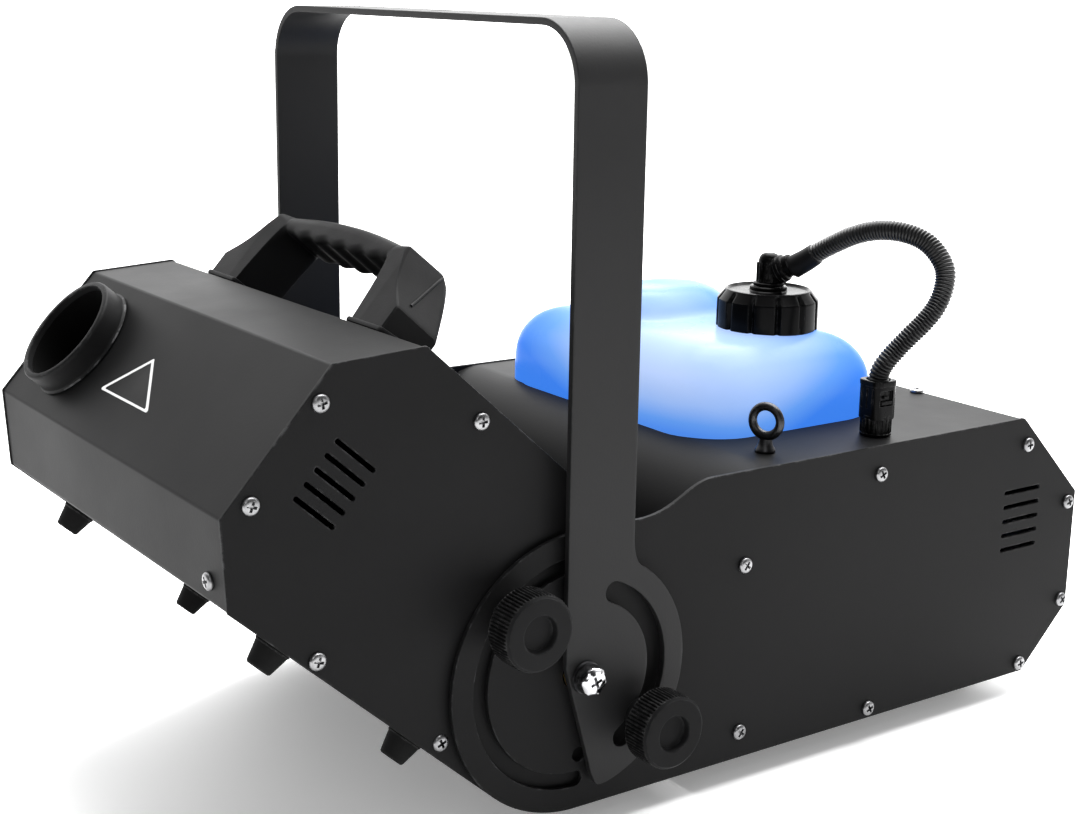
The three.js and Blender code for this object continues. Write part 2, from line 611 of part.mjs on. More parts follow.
function hangingYoke() {
  const front = YOKE_MIDDLE_Y - YOKE_WIDTH / 2;
  const strap = plateY(strapOutline(), front, front + YOKE_WIDTH, 5);
  const add = [];
  const cut = [cylinderZ(5.2, YOKE_TOP - 10, YOKE_TOP + 1, 0, YOKE_MIDDLE_Y, 20)];
  for (const [, side] of sides) {
    const x0 = side > 0 ? YOKE_INNER_X : -YOKE_OUTER_X;
    const through = [x0 - 1, x0 + YOKE_THICK + 1];
    add.push(plateX(flangeOutline(), x0, x0 + YOKE_THICK, 12));
    cut.push(plateX(
      arcSlot(0, PIVOT_Z, YOKE_SLOT_R, YOKE_SLOT_HALF, YOKE_SLOT_FROM, YOKE_SLOT_TO, 14), ...through));
    cut.push(cylinderX(BOLT_R + GAP, ...through, 0, PIVOT_Z, 20));
  }
  return combine(strap, { add, cut });
}

// a knob and its stud, from the far end of the stud out along +X
function clampKnob(seat, studEnd) {
  const rim = seat + KNOB_HEIGHT;
  const profile = [
    [0, studEnd], [STUD_R, studEnd], [STUD_R, seat], [KNOB_BOSS_R, seat], [KNOB_BOSS_R, rim - KNOB_HEAD],
    [KNOB_R, rim - KNOB_HEAD], [KNOB_R, rim - 1.2], [KNOB_R - 1.2, rim], [8, rim], [7.4, rim - 3], [0, rim - 3]];
  const points = profile.map(([r, x]) => new THREE.Vector2(r, x));
  return new THREE.LatheGeometry(points, 24).rotateZ(-Math.PI / 2);
}

function pivotBolt() {
  const seat = YOKE_OUTER_X + GAP;
  const profile = [
    [0, 100], [BOLT_R, 100], [BOLT_R, seat], [8.5, seat], [8.5, seat + 1.6],
    [6.5, seat + 1.6], [6.5, seat + 6], [5.2, seat + 7.6], [0, seat + 7.6]];
  const points = profile.map(([r, x]) => new THREE.Vector2(r, x));
  return new THREE.LatheGeometry(points, 24).rotateZ(-Math.PI / 2);
}

// a spacer that carries the head in the base's cheek and stands the yoke off it
function pivotBush() {
  const from = HEAD_HALF_WIDTH + GAP;
  const to = YOKE_INNER_X - GAP;
  const hole = BOLT_R + GAP;
  const profile = [[hole, from], [BUSH_R, from], [BUSH_R, to], [hole, to], [hole, from]];
  return new THREE.LatheGeometry(profile.map(([r, x]) => new THREE.Vector2(r, x)), 24).rotateZ(-Math.PI / 2);
}

const mirrored = (geometry, side) => (side > 0 ? geometry : geometry.rotateZ(Math.PI));

function buildClamps() {
  const studEnd = 100;
  for (const [name, side] of sides) {
    const headKnob = mirrored(clampKnob(HALF + GAP, studEnd), side).translate(0, -HEAD_SLOT_R, 0);
    piece(head, `head_clamp_knob_${name}`, headKnob, blackPlastic);
    const yokeKnob = mirrored(clampKnob(YOKE_OUTER_X + GAP, HALF - PANEL - 1), side).translate(
      0, YOKE_SLOT_R * Math.cos(YOKE_KNOB_ANGLE), PIVOT_Z + YOKE_SLOT_R * Math.sin(YOKE_KNOB_ANGLE));
    piece(base, `yoke_clamp_knob_${name}`, yokeKnob, blackPlastic);
    piece(base, `pivot_bolt_${name}`, mirrored(pivotBolt(), side).translate(0, 0, PIVOT_Z), zinc);
    piece(base, `pivot_bush_${name}`, mirrored(pivotBush(), side).translate(0, 0, PIVOT_Z), brass);
  }
  piece(yoke, 'hanging_yoke', hangingYoke(), powderCoat);
}

// ---------- tank, cap and hose ----------
const tank = new THREE.Group();

// a block with rounded upright corners and a rounded top and bottom edge
function softBlock(x0, x1, y0, y1, z0, z1, corner, round) {
  const shape = roundedRectangle(x0 + round, x1 - round, y0 + round, y1 - round, Math.max(corner - round, 1), 3);
  return new THREE.ExtrudeGeometry(shape, {
    depth: z1 - z0 - 2 * round, bevelEnabled: true, bevelThickness: round, bevelSize: round,
    bevelSegments: 3, curveSegments: 3,
  }).translate(0, 0, z0 + round);
}

function tankLobes(wall) {
  const t = TANK;
  const main = softBlock(t.x0 + wall, t.x1 - wall, t.y0 + wall, t.y1 - wall, t.bottom + wall,
    t.shoulder - wall, TANK_CORNER_R - wall, 22 - wall);
  const hump = softBlock(-62 + wall, 3 - wall, 122 + wall, 210 - wall, 100 + wall, t.top - wall, 24, 14 - wall);
  return [main, hump];
}

function fluidTank() {
  const neckR = 19;
  const neck = cylinderZ(neckR, TANK.shoulder - 20, CAP.z0 + 14, CAP.x, CAP.y, 24);
  const [main, hump] = tankLobes(0);
  const mouth = cylinderZ(neckR - 2.5, TANK.shoulder - 22, CAP.z0 + 16, CAP.x, CAP.y, 24);
  return combine(main, { add: [hump, neck], cut: [...tankLobes(TANK_WALL), mouth] });
}

function tankCap() {
  const { x, y, r, z0, z1 } = CAP;
  const seat = z0 - 0.5;
  const outer = [[0, z1], [r - 5, z1], [r - 3, z1 - 3.2], [r - 1, z1 - 5], [r, seat], [19 + GAP, seat],
    [19 + GAP, z0 + 14 + GAP], [0, z0 + 14 + GAP]];
  const lathe = new THREE.LatheGeometry(outer.reverse().map(([a, b]) => new THREE.Vector2(a, b)), 32)
    .rotateX(Math.PI / 2).translate(x, y, 0);
  return combine(lathe, { cut: [cylinderZ(3 + GAP, z0 + 10, z1 + 1, x, y, 12)] });
}

// the elbow turns out of the cap here, and its nut points this way
const ELBOW = { turnZ: 197.5, postTop: 208, postR: 5.4, nutR: 7.3, nutFrom: 4, nutTo: 10.4, way: [8, 4, 4.5] };

// the hose's middle line, from the elbow's nut round to the gland
const HOSE_ROUTE = [
  [40.2, 182.7, 201.7], [46.5, 185.5, 206], [53, 188, 211], [60, 191, 215.5], [68.5, 194, 220],
  [77, 198, 223], [86, 201.5, 224], [94.5, 205, 223], [102, 208, 220], [108.5, 209.5, 214.5],
  [113, 209.5, 208], [114.8, 207, 200], [114.5, 203, 192], [112.5, 197.5, 185], [110, 192, 179],
  [107, 187, 172.5], [105, 183, 167], [103.4, 181.3, 162], [103, 181, 157], [103, 181, 152.5]];

function tube(points, radius, steps, sidesCount) {
  const section = new THREE.Shape();
  for (let i = 0; i < sidesCount; i++) {
    const a = (i / sidesCount) * 2 * Math.PI;
    if (i === 0) section.moveTo(radius, 0);
    else section.lineTo(radius * Math.cos(a), radius * Math.sin(a));
  }
  section.closePath();
  const path = new THREE.CatmullRomCurve3(points.map((p) => new THREE.Vector3(...p)));
  return new THREE.ExtrudeGeometry(section, { steps, bevelEnabled: false, extrudePath: path });
}

function capElbow() {
  const { x, y, z1 } = CAP;
  const { turnZ, postTop, postR, nutR, nutFrom, nutTo, way } = ELBOW;
  const turn = new THREE.Quaternion()
    .setFromUnitVectors(new THREE.Vector3(0, 1, 0), new THREE.Vector3(...way).normalize());
  const outward = (r, from, to) => new THREE.CylinderGeometry(r, r, to - from, 16)
    .translate(0, (from + to) / 2, 0).applyQuaternion(turn).translate(x, y, turnZ);
  return combine(cylinderZ(postR, z1 + GAP, postTop - postR * 0.7, x, y, 16), {
    add: [
      new THREE.SphereGeometry(postR, 16, 8).scale(1, 1, 0.7).rotateX(Math.PI / 2)
        .translate(x, y, postTop - postR * 0.7),
      cylinderZ(7.6, z1 + GAP, z1 + 2, x, y, 16),
      cylinderZ(3, z1 - 18, z1 + 1, x, y, 12),
      outward(5, 0, nutFrom + 1), outward(nutR, nutFrom, nutTo)],
  });
}

function pickupTube() {
  const { x, y, z1 } = CAP;
  return cylinderZ(2.6, TANK.bottom + 8, z1 - 18 - GAP, x, y, 10);
}

function buildTank() {
  piece(tank, 'fluid_tank', fluidTank(), litPlastic);
  piece(tank, 'tank_cap', tankCap(), blackPlastic);
  piece(tank, 'cap_elbow', capElbow(), blackPlastic);
  piece(tank, 'pickup_tube', pickupTube(), litPlastic);
  piece(base, 'pickup_hose', tube(HOSE_ROUTE, HOSE_R, 48, 8), blackPlastic);
}

buildBase();
buildHead();
buildClamps();
buildTank();
root.add(base, head, yoke, tank);
root.position.set(0, PIVOT_Y, FOOT_HEIGHT);

export default root;
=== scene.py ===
"""Stage fog machine: the detailed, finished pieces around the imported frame.

Shapes are drawn in millimetres in one of two layouts, and then placed in the frame:
BASE has its origin under the tilt pivot on the base's underside, HEAD has it at the pivot,
with -Y towards the nozzle and +Z towards the head's top.
"""

import json
import math
import random

import bmesh
import bpy
from mathutils import Matrix, Vector


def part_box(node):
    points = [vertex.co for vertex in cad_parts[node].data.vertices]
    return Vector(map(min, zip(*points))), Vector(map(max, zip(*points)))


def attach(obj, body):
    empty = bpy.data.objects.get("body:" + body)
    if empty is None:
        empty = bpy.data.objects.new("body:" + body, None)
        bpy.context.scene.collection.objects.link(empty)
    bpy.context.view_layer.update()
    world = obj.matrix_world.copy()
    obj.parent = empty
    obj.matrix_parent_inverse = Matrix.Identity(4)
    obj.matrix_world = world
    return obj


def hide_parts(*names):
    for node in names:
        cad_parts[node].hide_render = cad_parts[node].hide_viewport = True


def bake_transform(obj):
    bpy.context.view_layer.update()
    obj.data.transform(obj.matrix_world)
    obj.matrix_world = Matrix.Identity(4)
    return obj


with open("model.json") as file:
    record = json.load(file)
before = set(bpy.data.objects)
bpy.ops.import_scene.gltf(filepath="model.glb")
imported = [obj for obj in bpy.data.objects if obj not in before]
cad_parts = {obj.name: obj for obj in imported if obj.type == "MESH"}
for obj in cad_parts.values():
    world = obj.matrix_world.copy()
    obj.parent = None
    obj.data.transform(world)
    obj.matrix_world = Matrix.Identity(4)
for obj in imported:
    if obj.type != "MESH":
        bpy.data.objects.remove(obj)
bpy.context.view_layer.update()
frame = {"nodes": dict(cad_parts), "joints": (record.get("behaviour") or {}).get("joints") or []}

MM = 0.001
TAU = math.tau
rad = math.radians

# ---------------------------------------------------------------- layout, from the frame
joints = {j["name"]: j for j in frame["joints"]}
pivot = Vector(joints["head_tilt"]["pos_m"])
panel_low, panel_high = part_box("base_side_panel_right")
UNDERSIDE = panel_low.z
PIVOT_Z = (pivot.z - UNDERSIDE) / MM
CHEEK_R = PIVOT_Z
HALF_WIDTH = panel_high.x / MM
BASE_HEIGHT = (panel_high.z - UNDERSIDE) / MM
BASE_REAR = (panel_high.y - pivot.y) / MM
HEAD_TILT = rad(41.65)

BASE = Matrix.Translation((0, pivot.y, UNDERSIDE)) @ Matrix.Scale(MM, 4)
HEAD = Matrix.Translation(pivot) @ Matrix.Rotation(-HEAD_TILT, 4, "X") @ Matrix.Scale(MM, 4)

PANEL = 2.0
SHEET = 1.6
TRIM = 0.5
INSIDE = HALF_WIDTH - PANEL - 0.3
REAR_TOP_CHAMFER = 43.0
REAR_LOW_CHAMFER = 30.0
BASE_FRONT = 66.0

HEAD_FRONT = 174.7
HEAD_HALF = 60.5
HEAD_TOP_CHAMFER = 27.7
HEAD_LOW_CHAMFER = 25.0
HEAD_HALF_WIDTH = 116.7
HEAD_PANEL = 1.5
NOZZLE_X = -74.0

YOKE_INNER_X = 122.5
YOKE_THICK = 3.0
YOKE_TOP = (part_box("hanging_yoke")[1].z - UNDERSIDE) / MM
YOKE_MIDDLE_Y = 7.0
YOKE_WIDTH = 33.0
YOKE_CORNER_R = 25.0
FLANGE_R = 51.0
YOKE_FACE_X = YOKE_INNER_X + YOKE_THICK + 0.3  # what is fastened on the yoke starts here
YOKE_SLOT_R = 36.5
HEAD_SLOT_R = 47.0
YOKE_KNOB_ANGLE = rad(-39)
SPARE_HOLE_ANGLE = rad(-87.5)



def linked(name, data):
    """A new object in the scene."""
    made = bpy.data.objects.new(name, data)
    bpy.context.scene.collection.objects.link(made)
    return made


# ---------------------------------------------------------------- camera
camera = linked("camera", bpy.data.cameras.new("camera"))
bpy.context.scene.camera = camera
CAMERA_AT = (658.4, -397.8, 335.8)  # in the base's layout
CAMERA_LENS = 58.4


def place_camera():
    azimuth, down, roll = rad(55.0), rad(13.765), rad(0.947)
    ahead = math.cos(down)
    forward = Vector((-math.sin(azimuth) * ahead, math.cos(azimuth) * ahead, -math.sin(down)))
    level = forward.cross(Vector((0, 0, 1))).normalized()
    upright = level.cross(forward)
    right = math.cos(roll) * level + math.sin(roll) * upright
    up = math.cos(roll) * upright - math.sin(roll) * level
    turn = Matrix((right, up, -forward)).transposed().to_4x4()
    camera.matrix_world = Matrix.Translation(BASE @ Vector(CAMERA_AT)) @ turn
    camera.data.lens = CAMERA_LENS
    camera.data.sensor_width = 36.0
    camera.data.clip_start, camera.data.clip_end = 0.05, 50.0
    camera.data.dof.use_dof = False


place_camera()


# ---------------------------------------------------------------- mesh helpers
def arc(cx, cy, r, start, end, steps):
    """Points on an arc, in degrees, both ends included."""
    return [(cx + r * math.cos(rad(start + (end - start) * i / steps)),
             cy + r * math.sin(rad(start + (end - start) * i / steps))) for i in range(steps + 1)]


def circle(cx, cy, r, steps=32):
    return arc(cx, cy, r, 0, 360, steps)[:-1]


def rounded(points, radii, steps=5):
    """A polygon with each corner turned into an arc of its own radius."""
    if not hasattr(radii, "__len__"):
        radii = [radii] * len(points)
    out = []
    n = len(points)
    for i, (p, r) in enumerate(zip(points, radii)):
        p, a, b = Vector(p), Vector(points[i - 1]), Vector(points[(i + 1) % n])
        if r <= 0:
            out.append(tuple(p))
            continue
        to_a, to_b = (a - p).normalized(), (b - p).normalized()
        half = to_a.angle(to_b) / 2
        reach = r / math.tan(half)
        start, end = p + to_a * reach, p + to_b * reach
        centre = p + (to_a + to_b).normalized() * (r / math.sin(half))
        first, last = start - centre, end - centre
        sweep = first.angle(last)
        for k in range(steps + 1):
            t = k / steps
            v = (first * math.sin((1 - t) * sweep) + last * math.sin(t * sweep)) / math.sin(sweep)
            out.append(tuple(centre + v))
    return out


def rectangle(x0, x1, y0, y1, r=0.0, steps=4):
    return rounded([(x0, y0), (x1, y0), (x1, y1), (x0, y1)], r, steps)


def arc_slot(cy, cz, r, half, start, end, steps):
    """A slot along an arc, with round ends."""
    def tip(angle, begin):
        y, z = cy + r * math.cos(rad(angle)), cz + r * math.sin(rad(angle))
        return arc(y, z, half, begin, begin + 180, 8)[1:-1]
    return [*arc(cy, cz, r + half, start, end, steps), *tip(end, end),
            *arc(cy, cz, r - half, end, start, steps), *tip(start, start + 180)]


def turned(points, ccw):
    """The outline, made to run counter-clockwise or clockwise."""
    area = sum(a[0] * b[1] - b[0] * a[1] for a, b in zip(points, [*points[1:], points[0]]))
    return points if (area > 0) == ccw else points[::-1]


def plate(outline, holes=(), thickness=2.0, edge=0.3):
    """A flat plate with softened edges, from z=0 to its thickness."""
    curve = bpy.data.curves.new("plate", "CURVE")
    curve.dimensions, curve.fill_mode = "2D", "BOTH"
    for i, loop in enumerate([outline, *holes]):
        loop = turned(loop, ccw=i == 0)
        spline = curve.splines.new("POLY")
        spline.points.add(len(loop) - 1)
        for point, (x, y) in zip(spline.points, loop):
            point.co = (x, y, 0, 1)
        spline.use_cyclic_u = True
    curve.extrude, curve.bevel_depth = thickness / 2 - edge, edge
    curve.bevel_resolution, curve.offset = 1, -edge
    mesh = applied(curve)
    bpy.data.curves.remove(curve)
    bm = bmesh.new()
    bm.from_mesh(mesh)
    bmesh.ops.remove_doubles(bm, verts=bm.verts, dist=1e-4)
    bmesh.ops.translate(bm, verts=bm.verts, vec=(0, 0, thickness / 2))
    bmesh.ops.recalc_face_normals(bm, faces=bm.faces)
    return finished(bm, mesh)


def finished(bm, mesh=None):
    mesh = mesh or bpy.data.meshes.new("shape")
    bm.to_mesh(mesh)
    bm.free()
    return mesh


def applied(shape, *modifiers):
    """A mesh of the shape with its modifiers applied, each given as a kind and its settings."""
    holder = linked("holder", shape)
    for kind, settings in modifiers:
        modifier = holder.modifiers.new(kind.lower(), kind)
        for key, value in settings.items():
            setattr(modifier, key, value)
    evaluated = holder.evaluated_get(bpy.context.evaluated_depsgraph_get())
    result = bpy.data.meshes.new_from_object(evaluated)
    bpy.data.objects.remove(holder)
    return result


def loft(rings, closed=False, caps=True):
    """Skins a list of rings with equal numbers of points. A ring of one point is a tip."""
    bm = bmesh.new()
    made = [[bm.verts.new(p) for p in ring] for ring in rings]
    pairs = list(zip(made, made[1:])) + ([(made[-1], made[0])] if closed else [])
    for a, b in pairs:
        count = max(len(a), len(b))
        for i in range(count):
            j = (i + 1) % count
            if len(a) == len(b) == 1:
                break
            if len(a) == 1:
                bm.faces.new((a[0], b[j], b[i]))
            elif len(b) == 1:
                bm.faces.new((a[i], a[j], b[0]))
            else:
                bm.faces.new((a[i], a[j], b[j], b[i]))
    if caps and not closed:
        for ring in (made[0], made[-1]):
            if len(ring) > 2:
                bm.faces.new(ring)
    bmesh.ops.recalc_face_normals(bm, faces=bm.faces)
    return finished(bm)


def lathe(profile, segments=48, closed=False, wave=None):
    """Turns a profile of (radius, z) about Z. wave(angle, i) scales the radius of profile point i."""
    rings = []
    for i, (r, z) in enumerate(profile):
        if r < 1e-6:
            rings.append([(0, 0, z)])
            continue
        ring = []
        for k in range(segments):
            a = TAU * k / segments
            s = r * (wave(a, i) if wave else 1)
            ring.append((s * math.cos(a), s * math.sin(a), z))
        rings.append(ring)
    return loft(rings, closed=closed)


def block(x0, x1, y0, y1, z0, z1, r=0.6, segments=3):
    """A box with all its edges rounded."""
    bm = bmesh.new()
    bmesh.ops.create_cube(bm, size=1)
    bmesh.ops.scale(bm, verts=bm.verts, vec=(x1 - x0, y1 - y0, z1 - z0))
    bmesh.ops.translate(bm, verts=bm.verts, vec=((x0 + x1) / 2, (y0 + y1) / 2, (z0 + z1) / 2))
    bmesh.ops.bevel(bm, geom=bm.edges[:], offset=r, segments=segments, profile=0.5, affect="EDGES")
    return finished(bm)


def tube(points, radius, sides=20):
    """A round bar along points. radius may be a function of the point's number."""
    rings = []
    normal = None
    for i, p in enumerate(points):
        ahead = (points[min(i + 1, len(points) - 1)] - points[max(i - 1, 0)]).normalized()
        if normal is None:
            normal = ahead.orthogonal().normalized()
        normal = (normal - ahead * normal.dot(ahead)).normalized()
        side = ahead.cross(normal)
        r = radius(i) if callable(radius) else radius
        rings.append([p + r * (math.cos(TAU * k / sides) * normal + math.sin(TAU * k / sides) * side)
                      for k in range(sides)])
    return loft(rings)


def moved(mesh, matrix):
    mesh.transform(matrix)
    return mesh


def copied(mesh, matrix):
    return moved(mesh.copy(), matrix)


def joined(*meshes):
    bm = bmesh.new()
    for mesh in meshes:
        bm.from_mesh(mesh)
    return finished(bm)


def carved(mesh, *cutters):
    """The mesh with the cutters taken out of it."""
    tools = [linked("cutter", cutter) for cutter in cutters]
    result = applied(mesh, *[("BOOLEAN", {"operation": "DIFFERENCE", "solver": "EXACT", "object": tool})
                             for tool in tools])
    for tool in tools:
        bpy.data.objects.remove(tool)
    return result


def solidified(mesh, thickness):
    """Gives an open skin a thickness, outwards."""
    return applied(mesh, ("SOLIDIFY", {"thickness": thickness, "offset": 1.0}))


# where a plate's x, y and depth go: to Y, Z, X, or to X, Z, -Y
TO_SIDE = Matrix(((0, 0, 1, 0), (1, 0, 0, 0), (0, 1, 0, 0), (0, 0, 0, 1)))
TO_FRONT = Matrix(((1, 0, 0, 0), (0, 0, -1, 0), (0, 1, 0, 0), (0, 0, 0, 1)))


def shifted(x=0.0, y=0.0, z=0.0):
    return Matrix.Translation((x, y, z))


def add(name, mesh, place, body, material, replaces=(), smooth=30):
    """Puts a finished mesh in the frame, riding on a body."""
    mesh.transform(place)
    mesh.materials.clear()
    mesh.materials.append(material)
    mesh.shade_smooth()
    mesh.set_sharp_from_angle(angle=rad(smooth))
    piece = linked(name, mesh)
    weighted = piece.modifiers.new("flat faces stay flat", "WEIGHTED_NORMAL")
    weighted.keep_sharp, weighted.weight = True, 80
    if body:
        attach(piece, body)
    if replaces:
        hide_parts(*replaces)
    return piece


# ---------------------------------------------------------------- materials
class Nodes:
    """A small builder for one node tree."""

    def __init__(self, tree):
        self.nodes, self.links = tree.nodes, tree.links

    def node(self, kind, **settings):
        node = self.nodes.new(kind)
        for key, value in settings.items():
            setattr(node, key, value)
        return node

    def feed(self, socket, value):
        """Links a socket to another's output, or sets its number or colour."""
        if isinstance(value, bpy.types.NodeSocket):
            self.links.new(value, socket)
        else:
            socket.default_value = value

    def set(self, node, **values):
        for key, value in values.items():
            self.feed(node.inputs[key.replace("_", " ")], value)

    def span(self, value, low, high, to_low, to_high):
        node = self.node("ShaderNodeMapRange")
        self.set(node, Value=value, From_Min=low, From_Max=high, To_Min=to_low, To_Max=to_high)
        return node.outputs["Result"]

    def maths(self, operation, a, b=0.0):
        node = self.node("ShaderNodeMath", operation=operation)
        self.feed(node.inputs[0], a)
        self.feed(node.inputs[1], b)
        return node.outputs[0]

    def vectors(self, operation, a, b=(0.0, 0.0, 0.0)):
        node = self.node("ShaderNodeVectorMath", operation=operation)
        self.feed(node.inputs[0], a)
        self.feed(node.inputs[1], b)
        return node.outputs["Value" if operation in ("DOT_PRODUCT", "LENGTH") else "Vector"]


class Surface(Nodes):
    """One procedural material, placed by the object's own coordinates."""

    def __init__(self, name):
        self.material = bpy.data.materials.new(name)
        self.material.use_nodes = True
        super().__init__(self.material.node_tree)
        self.shader = self.nodes["Principled BSDF"]
        self.place = self.node("ShaderNodeTexCoord").outputs["Object"]

    def noise(self, scale, detail=3.0, rough=0.5, place=None):
        node = self.node("ShaderNodeTexNoise")
        self.set(node, Vector=place or self.place, Scale=scale, Detail=detail, Roughness=rough)
        return node.outputs["Fac"]

    def mix(self, share, a, b):
        node = self.node("ShaderNodeMix", data_type="RGBA")
        for index, value in ((0, share), (6, a), (7, b)):
            self.feed(node.inputs[index], (*value, 1.0) if isinstance(value, tuple) else value)
        return node.outputs[2]

    def cloud(self, scale, detail, rough, low, high):
        """Soft patches of noise, spread from low to high."""
        return self.span(self.noise(scale, detail, rough), 0.3, 0.7, low, high)

    def edges(self, radius):
        """1 on convex and concave edges, 0 on flat faces."""
        bevel = self.node("ShaderNodeBevel", samples=6)
        self.set(bevel, Radius=radius)
        straight = self.node("ShaderNodeNewGeometry").outputs["True Normal"]
        alike = self.vectors("DOT_PRODUCT", bevel.outputs["Normal"], straight)
        return self.span(alike, 0.995, 0.85, 0.0, 1.0)

    def bump(self, height, strength, distance, after=None):
        node = self.node("ShaderNodeBump")
        self.set(node, Height=height, Strength=strength, Distance=distance)
        if after is not None:
            self.set(node, Normal=after)
        return node.outputs["Normal"]


def coated(name, low, high, wear=0.5, wear_color=(0.16, 0.16, 0.165), shine=0.06):
    """Powder coat: a fine pebbled skin, faint cloudiness, and paint rubbed thin on the edges."""
    s = Surface(name)
    color = s.mix(s.cloud(14.0, 4.0, 0.6, 0.0, 1.0), low, high)
    chips = s.span(s.noise(160.0, 5.0, 0.7), 0.5, 0.62, 0.0, 1.0)
    rubbed = s.maths("MULTIPLY", s.maths("MULTIPLY", s.edges(0.0011), chips), wear)
    pebbled = s.bump(s.noise(900.0, 2.0), 0.55, 0.00006)
    s.set(s.shader, Base_Color=s.mix(rubbed, color, wear_color), Specular_IOR_Level=shine,
          Roughness=s.cloud(7.0, 5.0, 0.65, 0.42, 0.55),
          Normal=s.bump(s.noise(45.0, 2.0), 0.12, 0.0004, pebbled))
    return s.material


def moulded(name, low, high, rough=(0.38, 0.5), grain=1800.0, depth=0.00003, scuffs=0.25, shine=0.08):
    """Moulded plastic: spark-eroded grain, slight flow marks and scuffed edges."""
    s = Surface(name)
    color = s.mix(s.cloud(22.0, 3.0, 0.5, 0.0, 1.0), low, high)
    patches = s.span(s.noise(320.0, 4.0, 0.7), 0.45, 0.65, 0.0, scuffs)
    scuff = s.maths("MULTIPLY", s.edges(0.0007), patches)
    s.set(s.shader, Base_Color=s.mix(scuff, color, (0.22, 0.22, 0.22)), Specular_IOR_Level=shine,
          Roughness=s.cloud(30.0, 5.0, 0.7, *rough), Normal=s.bump(s.noise(grain, 1.0, 0.4), 0.5, depth))
    return s.material


def metal(name, low, high, rough=(0.2, 0.35)):
    """Plated or machined metal with fine directional scratches and a little tarnish."""
    s = Surface(name)
    stretch = s.node("ShaderNodeMapping")
    s.set(stretch, Vector=s.place, Scale=(900.0, 90.0, 90.0))
    lines = s.noise(1.0, 3.0, 0.6, stretch.outputs["Vector"])
    tarnish = s.span(s.noise(120.0, 4.0), 0.35, 0.65, 0.0, 1.0)
    s.set(s.shader, Base_Color=s.mix(tarnish, low, high), Metallic=1.0,
          Roughness=s.span(lines, 0.3, 0.7, *rough), Normal=s.bump(lines, 0.25, 0.00002))
    return s.material


def tank_with_painted_glow(name):
    """Milky polyethylene lit from below by a painted glow: emission, not a lamp, painted pale near a point
    under the deck and deep blue towards its rim and foot, where painted shade stands in for the light fading
    through the plastic.
    """
    s = Surface(name)
    deck = UNDERSIDE + BASE_HEIGHT * MM
    # painted glow: its centre, a point under the deck that the painted light fades from; no lamp stands here
    painted_glow_centre = Vector((0.03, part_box("fluid_tank")[0].y + 0.022, deck - 0.012))
    reach = s.vectors("MULTIPLY", s.vectors("SUBTRACT", s.place, painted_glow_centre), (0.85, 1.0, 0.85))
    away = s.vectors("LENGTH", reach)
    split = s.node("ShaderNodeSeparateXYZ")
    s.set(split, Vector=s.place)
    height = s.maths("SUBTRACT", split.outputs["Z"], deck)
    # painted shade: the glow is painted deeper blue towards the tank's foot
    foot = s.maths("POWER", s.span(height, 0.0, 0.028, 0.9, 0.0), 1.3)
    # painted shade: the glow is painted deeper blue with distance from its centre, towards the rim
    rim = s.maths("ADD", s.span(away, 0.04, 0.098, 0.0, 0.92), foot)
    rim = s.maths("ADD", rim, s.cloud(9.0, 2.0, 0.5, -0.1, 0.1))
    # painted glow: a ramp from pale blue at its centre to deep blue at the rim and foot, used below as
    # emission
    ramp = s.node("ShaderNodeValToRGB")
    s.set(ramp, Fac=s.span(rim, 0.0, 1.05, 0.0, 1.0))
    stops = ((0.0, (0.53, 0.67, 1.0)), (1.0, (0.05, 0.24, 0.95)), (0.35, (0.36, 0.55, 1.0)),
             (0.66, (0.14, 0.37, 0.97)))
    elements = ramp.color_ramp.elements
    for i, (position, color) in enumerate(stops):
        element = elements[i] if i < 2 else elements.new(position)
        element.position, element.color = position, (*color, 1.0)
    glow = ramp.outputs["Color"]
    s.set(s.shader, Base_Color=s.mix(0.9, glow, (0.01, 0.04, 0.1)), Specular_IOR_Level=0.06,
          Emission_Color=glow, Emission_Strength=1.42, Roughness=s.cloud(40.0, 4.0, 0.5, 0.22, 0.34),
          Normal=s.bump(s.noise(26.0, 2.0), 0.25, 0.0015))
    return s.material


def ribbed_hose(name):
    """Black corrugated polyamide: shiny crests, with patches of dust spread by noise."""
    s = Surface(name)
    dust = s.span(s.noise(260.0, 4.0, 0.7), 0.45, 0.7, 0.0, 0.5)
    color = s.mix(dust, (0.003, 0.003, 0.0035), (0.012, 0.012, 0.0125))
    s.set(s.shader, Base_Color=color, Roughness=s.cloud(90.0, 3.0, 0.5, 0.28, 0.42),
          Specular_IOR_Level=0.3, Normal=s.bump(s.noise(2200.0), 0.3, 0.00002))
    return s.material


def circuit(name):
    """Solder-masked board with a faint weave and pale pads."""
    s = Surface(name)
    cells = s.node("ShaderNodeTexVoronoi")
    s.set(cells, Vector=s.place, Scale=420.0)
    pads = s.span(cells.outputs["Distance"], 0.12, 0.16, 1.0, 0.0)
    color = s.mix(s.noise(60.0), (0.008, 0.06, 0.025), (0.015, 0.11, 0.045))
    s.set(s.shader, Base_Color=s.mix(pads, color, (0.5, 0.5, 0.46)), Roughness=0.35,
          Normal=s.bump(s.noise(1500.0), 0.3, 0.00005))
    return s.material


def dark_screen(name):
    """Smoked display window with a dim blue segment glow under it."""
    s = Surface(name)
    glow = s.cloud(30.0, 1.0, 0.5, 0.4, 1.0)
    s.set(s.shader, Base_Color=s.mix(glow, (0.004, 0.008, 0.02), (0.006, 0.02, 0.07)),
          Roughness=s.cloud(80.0, 4.0, 0.5, 0.05, 0.12), Emission_Color=(0.05, 0.16, 0.6, 1.0),
          Emission_Strength=s.maths("MULTIPLY", glow, 0.12))
    return s.material


